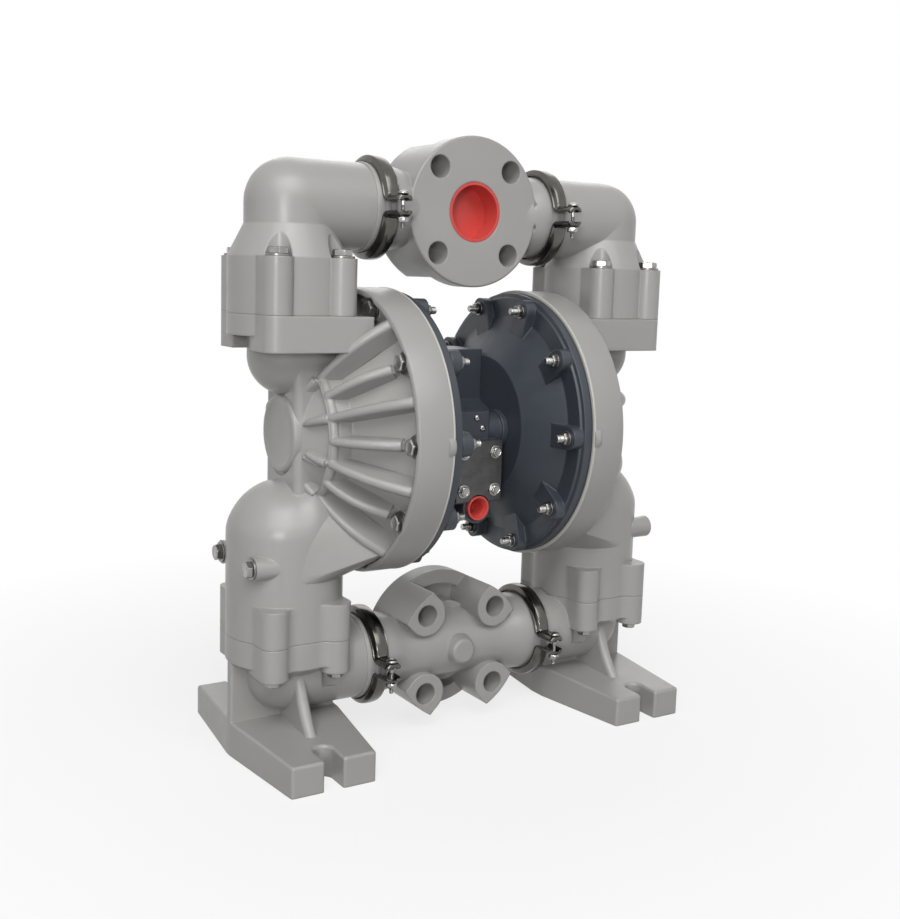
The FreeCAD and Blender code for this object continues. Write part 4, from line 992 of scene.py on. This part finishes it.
    def rib(self, ends: tuple, bulge: float, widths: tuple, angle: float) -> Shell:
        """A rib with a half round back, swept along an arch.

        The back's middle line is a parabola through both ends that rises by the bulge between them. A ring has
        half a circle over the line and straight sides that widen by a millimetre down to their foot.

        Args:
            ends: The line's ends, each a reach and a radius.
            bulge: Height of the arch over its chord.
            widths: Half widths at the two ends.
            angle: The rib's angle in degrees.

        Returns:
            The rib.
        """
        start, end = (np.array(point) for point in ends)
        share = np.linspace(0.0, 1.0, 25)[:, None]
        chord = (end - start) / np.linalg.norm(end - start)
        out = np.array([chord[1], -chord[0]])
        line = start + share * (end - start) + 4 * bulge * share * (1 - share) * out
        half = widths[0] + share * (widths[1] - widths[0])
        bend = np.linspace(0.0, math.pi, 15)[None, :]
        aside = np.concatenate([half + 1.0 * MM, half * np.cos(bend), -half - 1.0 * MM], axis=1)
        foot = np.full_like(half, -self.rib_depth)
        rise = np.concatenate([foot, half * np.sin(bend), foot], axis=1)
        places = line[:, None, :] + rise[:, :, None] * out
        return Shell.through(self.world(places[..., 0], places[..., 1], angle, aside))

    def ribs(self) -> None:
        """The long ribs, those that end at the bolts, the short ones to the hub, and the ring that joins them."""
        shells = []
        between_end, bolt_end = self.rib_ends
        long, short = self.rib_bulges
        for bolt in np.arange(self.rib_count) * 360.0 / self.rib_count:
            between = bolt + 180.0 / self.rib_count
            shells += [
                self.rib((self.rib_top, between_end), long, self.rib_widths[0], between),
                self.rib((self.rib_top, bolt_end), long, self.rib_widths[1], bolt),
                self.rib(self.hub_rib, short, self.rib_widths[2], between),
            ]
        turn = np.linspace(0.0, 360.0, 144, endpoint=False)[:, None]
        bend = np.linspace(0.0, 2 * math.pi, 20, endpoint=False)[None, :]
        ring = self.world(self.ring[0] + self.ring_size[0] * np.cos(bend),
                          self.ring[1] + self.ring_size[1] * np.sin(bend), turn)
        shells.append(Shell.through(ring, loop=True))
        piece(f"{self.side.word}_chamber_ribs", Shell.merged(shells), Finish.GREY, "housing")

    def shoulder(self) -> None:
        """The broad shoulder between the suction column and the chamber's rim.

        Straight lines run from an outline on the column and its dome to one along the bordering ribs' backs and
        the rim's lowest arc. Both outlines go up the front, across, down the back and along the underside. A
        round passage inside keeps the port open and joins the two ends.
        """
        low, edge = self.shoulder_angle, 90.0 + self.lean
        arch = np.radians(np.linspace(0.0, self.shoulder_arch, 12))
        centre = self.dome_height - self.drop
        wall = np.linspace(self.shoulder_bottom, centre, 8)[:-1]
        wide = self.dome_radius * np.concatenate([np.ones_like(wall), np.cos(arch)])
        high = np.concatenate([wall, centre + self.dome_radius * np.sin(arch)])
        sweep = np.linspace(-1.0, 1.0, 24)[1:-1]
        level, beside = np.ones_like(sweep), np.ones_like(wide)
        turn = np.radians(edge * np.concatenate([beside, -sweep, -beside, sweep]))
        radius = np.concatenate([wide, wide[-1] * level, wide[::-1], self.dome_radius * level])
        height = np.concatenate([high, high[-1] * level, high[::-1], self.shoulder_bottom * level])
        column = rows(self.side.value * (self.column - radius * np.cos(turn)), -radius * np.sin(turn), height)
        share = np.linspace(0.0, 1.0, len(wide))
        rim_reach, rim_radius = self.shoulder_rim
        back_reach = rim_reach + share * self.side_run + 4 * self.side_bulge * share * (1 - share)
        back_radius = rim_radius + share * (self.shoulder_top[1] - rim_radius)
        half = 90.0 + low
        rim = np.concatenate([self.world(back_reach, back_radius, low),
                              self.world(*self.shoulder_top, -90.0 - sweep * half),
                              self.world(back_reach, back_radius, -180.0 - low)[::-1],
                              self.world(rim_reach, rim_radius, -90.0 + sweep * half)])
        lines = column + np.linspace(0.0, 1.0, 9)[:, None, None] * (rim - column)
        way = np.arctan2(column[:, 2] - self.dome_height, column[:, 1])
        passage = [rows(self.side.value * reach, self.passage * np.cos(way),
                        self.dome_height + self.passage * np.sin(way)) for reach in self.passage_ends]
        closed = Shell.through(np.concatenate([lines, passage]), loop=True)
        piece(f"{self.side.word}_port_shoulder", closed, Finish.GREY, "housing")

    def hub(self) -> None:
        """The round disc on the hub: an eased edge, a shallow ring groove and a flat middle, turned."""
        profile = np.array([(39.0, 186.0), (39.0, 196.0), (38.4, 197.6), (36.8, 198.6), (34.5, 199.0),
                            (32.6, 198.8), (31.4, 198.1), (30.2, 197.6), (12.0, 197.4), (3.0, 197.3)]) * MM
        disc = lathe(profile, 96).placed(across(self.side, ROD_HEIGHT))
        piece(f"{self.side.word}_hub_disc", disc, Finish.GREY, "housing", smooth=50.0)

    def build(self) -> None:
        """Make the casting, its ribs, its shoulder and its hub."""
        for make in (self.casting, self.ribs, self.shoulder, self.hub):
            make()


@dataclass
class RimEdges:
    """The rounded edge between the two halves of each chamber; its pale colour is a painted highlight of light
    caught on that edge.

    Attributes:
        inner: Reach of its side towards the middle.
        outer: Reach of its other side.
        radius: Outer radius.
        root: Inner radius, inside the cap.
    """

    inner: float = 82.4 * MM
    outer: float = 84.9 * MM
    radius: float = 145.5 * MM
    root: float = 142.3 * MM

    def build(self) -> None:
        """Make both edges: a strip with half an ellipse for its outside, swept round the rod's axis."""
        bend = np.linspace(-math.pi / 2, math.pi / 2, 9)
        half = (self.outer - self.inner) / 2
        back = rows(self.radius - half * (1 - np.cos(bend)), self.inner + half * (1 + np.sin(bend)))
        profile = np.concatenate([[(self.root, self.inner)], back, [(self.root, self.outer)]])
        ring = lathe(profile, 180, loop=True)
        for side in Side:
            edge = ring.placed(across(side, ROD_HEIGHT))
            # Each edge gets the pale finish, a painted highlight.
            piece(f"{side.word}_rim_edge", edge, Finish.CREAM, "housing")


@dataclass
class PipeCollars:
    """The low collar that ends each elbow's pipe beside its clamp.

    Attributes:
        inner: Reach of the collar's end under the clamp, from the middle.
        outer: Reach of its shoulder.
        radius: Its outer radius.
        pipe: Radius that it starts from, a little inside the pipe.
        soft: Size of the rounded shoulder.
    """

    inner: float = 104.0 * MM
    outer: float = 116.0 * MM
    radius: float = 44.3 * MM
    pipe: float = 42.6 * MM
    soft: float = 1.2 * MM

    def build(self) -> None:
        """Make the four collars: a rounded step swept round the pipe."""
        bend = np.linspace(0, math.pi / 2, 6)
        corner = rows(self.radius - self.soft + self.soft * np.cos(bend),
                      self.outer - self.soft + self.soft * np.sin(bend))
        profile = np.concatenate([[(self.pipe, self.inner), (self.radius, self.inner)], corner,
                                  [(self.pipe, self.outer)]])
        ring = lathe(profile, 96, loop=True)
        for side in Side:
            collars = ring.placed(across(side, OUTLET_Z, INLET_Z))
            piece(f"{side.word}_pipe_collars", collars, Finish.GREY, "housing")


@dataclass
class ClampFasteners:
    """The carriage bolts of all four clamps and their nuts.

    Attributes:
        apart: Distance of the bolts from the pipe axis.
        top: Height of the head's underside over the pipe axis.
        tip: Depth of the bolt tip under the pipe axis.
        radius: Shank radius.
        head_radius: Radius of the round heads.
        head_height: Their height.
        reach: Reach of the clamps' middles.
        flats: Width over the flats of the nuts.
        nut_height: Height of the nuts.
        turn: How far the nuts are turned, degrees.
        rim: Height of the heads' straight rim.
        soft: Size of the rim's eased lower edge.
    """

    apart: float = 68.0 * MM
    top: float = 10.9 * MM
    tip: float = 22.0 * MM
    radius: float = 2.2 * MM
    head_radius: float = 5.6 * MM
    head_height: float = 3.6 * MM
    reach: float = 102.0 * MM
    flats: float = 9.8 * MM
    nut_height: float = 5.0 * MM
    turn: float = 20.0
    rim: float = 0.8 * MM
    soft: float = 0.4 * MM

    def build(self) -> None:
        """Make bolts and nuts."""
        spots = [[s * self.reach, f * self.apart, z] for s in (-1, 1) for f in (-1, 1)
                 for z in (OUTLET_Z, INLET_Z)]
        frames = frames_at(spots, (0.0, 0.0, 1.0), self.turn)
        bend = np.linspace(0, math.pi / 2, 9)
        dome = rows(self.head_radius * np.cos(bend),
                    self.top + self.rim + (self.head_height - self.rim) * np.sin(bend))
        base = [(self.head_radius - self.soft, self.top), (self.head_radius, self.top + self.soft)]
        head = lathe(np.concatenate([base, dome[:-1], [(self.soft, dome[-1, 1])]]), 32)
        down = np.diag([1.0, -1.0, -1.0, 1.0])
        rod = shank(self.radius, -self.top - 0.5 * MM, self.tip, 0.0, 1.0 * MM).placed(down)
        bolts = Shell.merged([head, rod]).placed(frames)
        piece("clamp_bolt_set", bolts, Finish.BRIGHT, "housing", ("clamp_bolts",))
        block = nut(self.flats, self.radius, self.nut_height).placed(raised(-self.top - self.nut_height))
        piece("clamp_nut_set", block.placed(frames), Finish.BRIGHT, "housing", ("clamp_nuts",))


@dataclass
class CoverScrews:
    """The four flanged screws of the air valve's cover, and two low round heads above it.

    Attributes:
        across: Distance of the screws from the middle.
        heights: Their heights over the rod.
        face: Depth of the cover's face.
        flats: Width over the flats.
        head_height: Height of the hexagon over its flange's foot.
        flange: Radius of the flanges.
        flange_height: Their thickness.
        radius: Shank radius.
        length: How far the shanks go in.
        turn: How far the heads are turned, degrees.
        nose: Places of the round heads, along X and over the rod.
        nose_face: Depth of the face that they sit on.
    """

    across: float = 19.0 * MM
    heights: tuple = (-21.0 * MM, -60.5 * MM)
    face: float = -62.0 * MM
    flats: float = 9.8 * MM
    head_height: float = 4.0 * MM
    flange: float = 6.9 * MM
    flange_height: float = 1.4 * MM
    radius: float = 2.9 * MM
    length: float = 14.0 * MM
    turn: float = 10.0
    nose: tuple = ((2.5 * MM, 13.5 * MM), (9.7 * MM, 2.5 * MM))
    nose_face: float = -50.0 * MM

    def build(self) -> None:
        """Make the screws."""
        front = (0.0, -1.0, 0.0)
        places = [[s * self.across, self.face, ROD_HEIGHT + h] for s in (-1, 1) for h in self.heights]
        head = bolt_head(self.flats, self.head_height).placed(raised(self.flange_height - 0.2 * MM))
        base = washer(self.flange, 0.5 * MM, self.flange_height)
        screw = Shell.merged([head, base, bar(self.radius, -self.length, 1.0 * MM)])
        screws = screw.placed(frames_at(places, front, self.turn))
        spots = [[x, self.nose_face, ROD_HEIGHT + rise] for x, rise in self.nose]
        profile = np.array([(3.3, 0.0), (3.4, 0.5), (3.0, 1.3), (2.2, 1.9), (1.5, 2.1), (1.4, 1.2),
                            (0.3, 1.1)]) * MM
        heads = lathe(profile, 32).placed(frames_at(spots, front))
        piece("cover_screw_set", Shell.merged([screws, heads]), Finish.BRIGHT, "housing", ("cover_screws",))


@dataclass
class Studio:
    """Pale floor, soft lamps, white backdrop and the camera at the photograph's angle.

    Attributes:
        focal: Focal length in mm on a 36 mm frame.
        yaw: Camera heading about the upright axis, degrees.
        pitch: Camera dip, degrees.
        roll: Camera roll, degrees.
        place: Camera position in metres.
        shift: Lens shift in frame widths.
        middle: Height that the lamps face.
        ambient: Strength of the even light.
        lamps: Each lamp's name, heading, rise, distance, size and power, as its method takes them.
        floor_half: Half the floor's width.
        floor_level: Its height, a little under the feet.
    """

    focal: float = 46.146
    yaw: float = -32.296
    pitch: float = 7.980
    roll: float = 1.796
    place: tuple = (-0.66545, -1.06564, 0.48009)
    shift: tuple = (-0.0056, -0.0191)
    middle: float = 0.33
    ambient: float = 0.06
    lamps: tuple = (("key_lamp", -130.0, 45.0, 4.4, 3.0, 98.0), ("front_lamp", -90.0, 46.0, 4.6, 3.2, 80.0),
                    ("back_lamp", 60.0, 34.0, 4.6, 3.0, 34.0), ("spark_lamp", -128.0, 9.0, 3.0, 0.5, 25.0))
    floor_half: float = 12.0
    floor_level: float = -0.4 * MM

    def camera(self) -> None:
        """Set the camera from its heading, dip and roll."""
        yaw, pitch, roll = (math.radians(a) for a in (self.yaw, self.pitch, self.roll))
        back = np.array([math.sin(yaw) * math.cos(pitch), -math.cos(yaw) * math.cos(pitch), math.sin(pitch)])
        right = np.array([math.cos(yaw), math.sin(yaw), 0.0])
        up = np.cross(back, right)
        matrix = np.eye(4)
        matrix[:3, 0] = math.cos(roll) * right + math.sin(roll) * up
        matrix[:3, 1] = -math.sin(roll) * right + math.cos(roll) * up
        matrix[:3, 2], matrix[:3, 3] = back, self.place
        data = bpy.data.cameras.new("camera")
        data.lens = self.focal
        data.sensor_width = 36.0
        data.shift_x, data.shift_y = self.shift
        data.clip_end = 50.0
        camera = bpy.data.objects.new("camera", data)
        camera.matrix_world = Matrix(matrix.tolist())
        bpy.context.scene.collection.objects.link(camera)
        bpy.context.scene.camera = camera

    def lamp(self, name: str, heading: float, rise: float, distance: float, size: float,
             power: float) -> None:
        """Add a square soft lamp that faces the pump's middle.

        Args:
            name: The lamp's name.
            heading: Its direction from the pump about the upright axis in degrees, 0 at +X.
            rise: Its angle over the level of the middle in degrees.
            distance: Its distance from the middle in metres.
            size: Its side in metres.
            power: Watts.
        """
        turn, lift = math.radians(heading), math.radians(rise)
        away = Vector((math.cos(lift) * math.cos(turn), math.cos(lift) * math.sin(turn), math.sin(lift)))
        data = bpy.data.lights.new(name, "AREA")
        data.size = size
        data.energy = power
        lamp = bpy.data.objects.new(name, data)
        lamp.location = Vector((0.0, 0.0, self.middle)) + distance * away
        lamp.rotation_euler = away.to_track_quat("Z", "Y").to_euler()
        bpy.context.scene.collection.objects.link(lamp)

    def world(self) -> None:
        """Even grey light, with white behind the pump and in what its metal reflects."""
        graph = Graph(bpy.data.worlds.new("studio"))
        bpy.context.scene.world = graph.owner
        path = graph.add("ShaderNodeLightPath").outputs
        sharp = graph.combined("MAXIMUM", path["Is Glossy Ray"], path["Is Transmission Ray"])
        seen = graph.combined("MAXIMUM", path["Is Camera Ray"], sharp)
        background = graph.nodes["Background"]
        graph.feed(background.inputs["Color"], (1.0, 1.0, 1.0, 1.0))
        graph.feed(background.inputs["Strength"], graph.spread(seen, self.ambient, 1.0, 0.0, 1.0))

    def floor(self) -> None:
        """A wide pale floor that keeps a light shadow under the feet."""
        mesh = bpy.data.meshes.new("floor")
        half, level = self.floor_half, self.floor_level
        corners = [(-half, -half, level), (half, -half, level), (half, half, level), (-half, half, level)]
        mesh.from_pydata(corners, [], [(0, 1, 2, 3)])
        floor = bpy.data.objects.new("floor", mesh)
        bpy.context.scene.collection.objects.link(floor)
        graph = Graph(bpy.data.materials.new("pale_floor"))
        path = graph.add("ShaderNodeLightPath").outputs
        tone = graph.between(path["Is Camera Ray"], (0.3, 0.3, 0.3), (0.82, 0.82, 0.82))
        graph.feed(graph.shader.inputs["Base Color"], tone)
        graph.feed(graph.shader.inputs["Roughness"], 0.8)
        glow = graph.add("ShaderNodeEmission", Color=(1.0, 1.0, 1.0, 1.0), Strength=1.0)
        length = graph.add("ShaderNodeVectorMath", {"operation": "LENGTH"}, Vector=graph.places())
        fade = graph.spread(length.outputs["Value"], 0.76, 1.0, 0.28, 0.85)
        straight = graph.combined("MAXIMUM", path["Is Camera Ray"], path["Is Glossy Ray"])
        mix = graph.add("ShaderNodeMixShader", Fac=graph.combined("MULTIPLY", straight, fade))
        graph.feed(mix.inputs[1], graph.shader.outputs["BSDF"])
        graph.feed(mix.inputs[2], glow.outputs["Emission"])
        graph.feed(graph.nodes["Material Output"].inputs["Surface"], mix.outputs["Shader"])
        mesh.materials.append(graph.owner)

    def build(self) -> None:
        """Put up the whole studio."""
        bpy.context.scene.view_settings.view_transform = "Standard"
        self.camera()
        self.world()
        self.floor()
        for row in self.lamps:
            self.lamp(*row)
        log.info("studio ready")


def main() -> None:
    """Dress every node, build the pieces and put up the studio."""
    logging.basicConfig(level=logging.INFO, format="%(name)s: %(message)s")
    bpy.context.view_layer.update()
    for finish, stems in NODE_FINISHES.items():
        for stem in stems:
            words = [side.word for side in Side] if "*" in stem else [""]
            for name in [stem.replace("*", word) for word in words]:
                dress(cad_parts[name], finish)
                log.info("dressed %s with %s", name, finish.value.name)
    for side in Side:
        FluidCap(side).build()
        ChamberFasteners(side).build()
        Clamp(side, "discharge", OUTLET_Z).build()
        Clamp(side, "suction", INLET_Z).build()
    ColumnFasteners("discharge", 494.0 * MM, 1, 82.0 * MM,
                    Bolt(17.4 * MM, 6.4 * MM, 12.0 * MM, 2.2 * MM, 6.0 * MM, 17.0, 0.3 * MM)).build()
    ColumnFasteners("suction", 89.0 * MM, -1, 62.0 * MM,
                    Bolt(14.0 * MM, 5.0 * MM, 8.8 * MM, 1.6 * MM, 6.0 * MM, 17.0, 0.3 * MM)).build()
    DrainScrews().build()
    PipeCollars().build()
    RimEdges().build()
    ClampFasteners().build()
    CoverScrews().build()
    Studio().build()


if __name__ == "__main__":
    main()
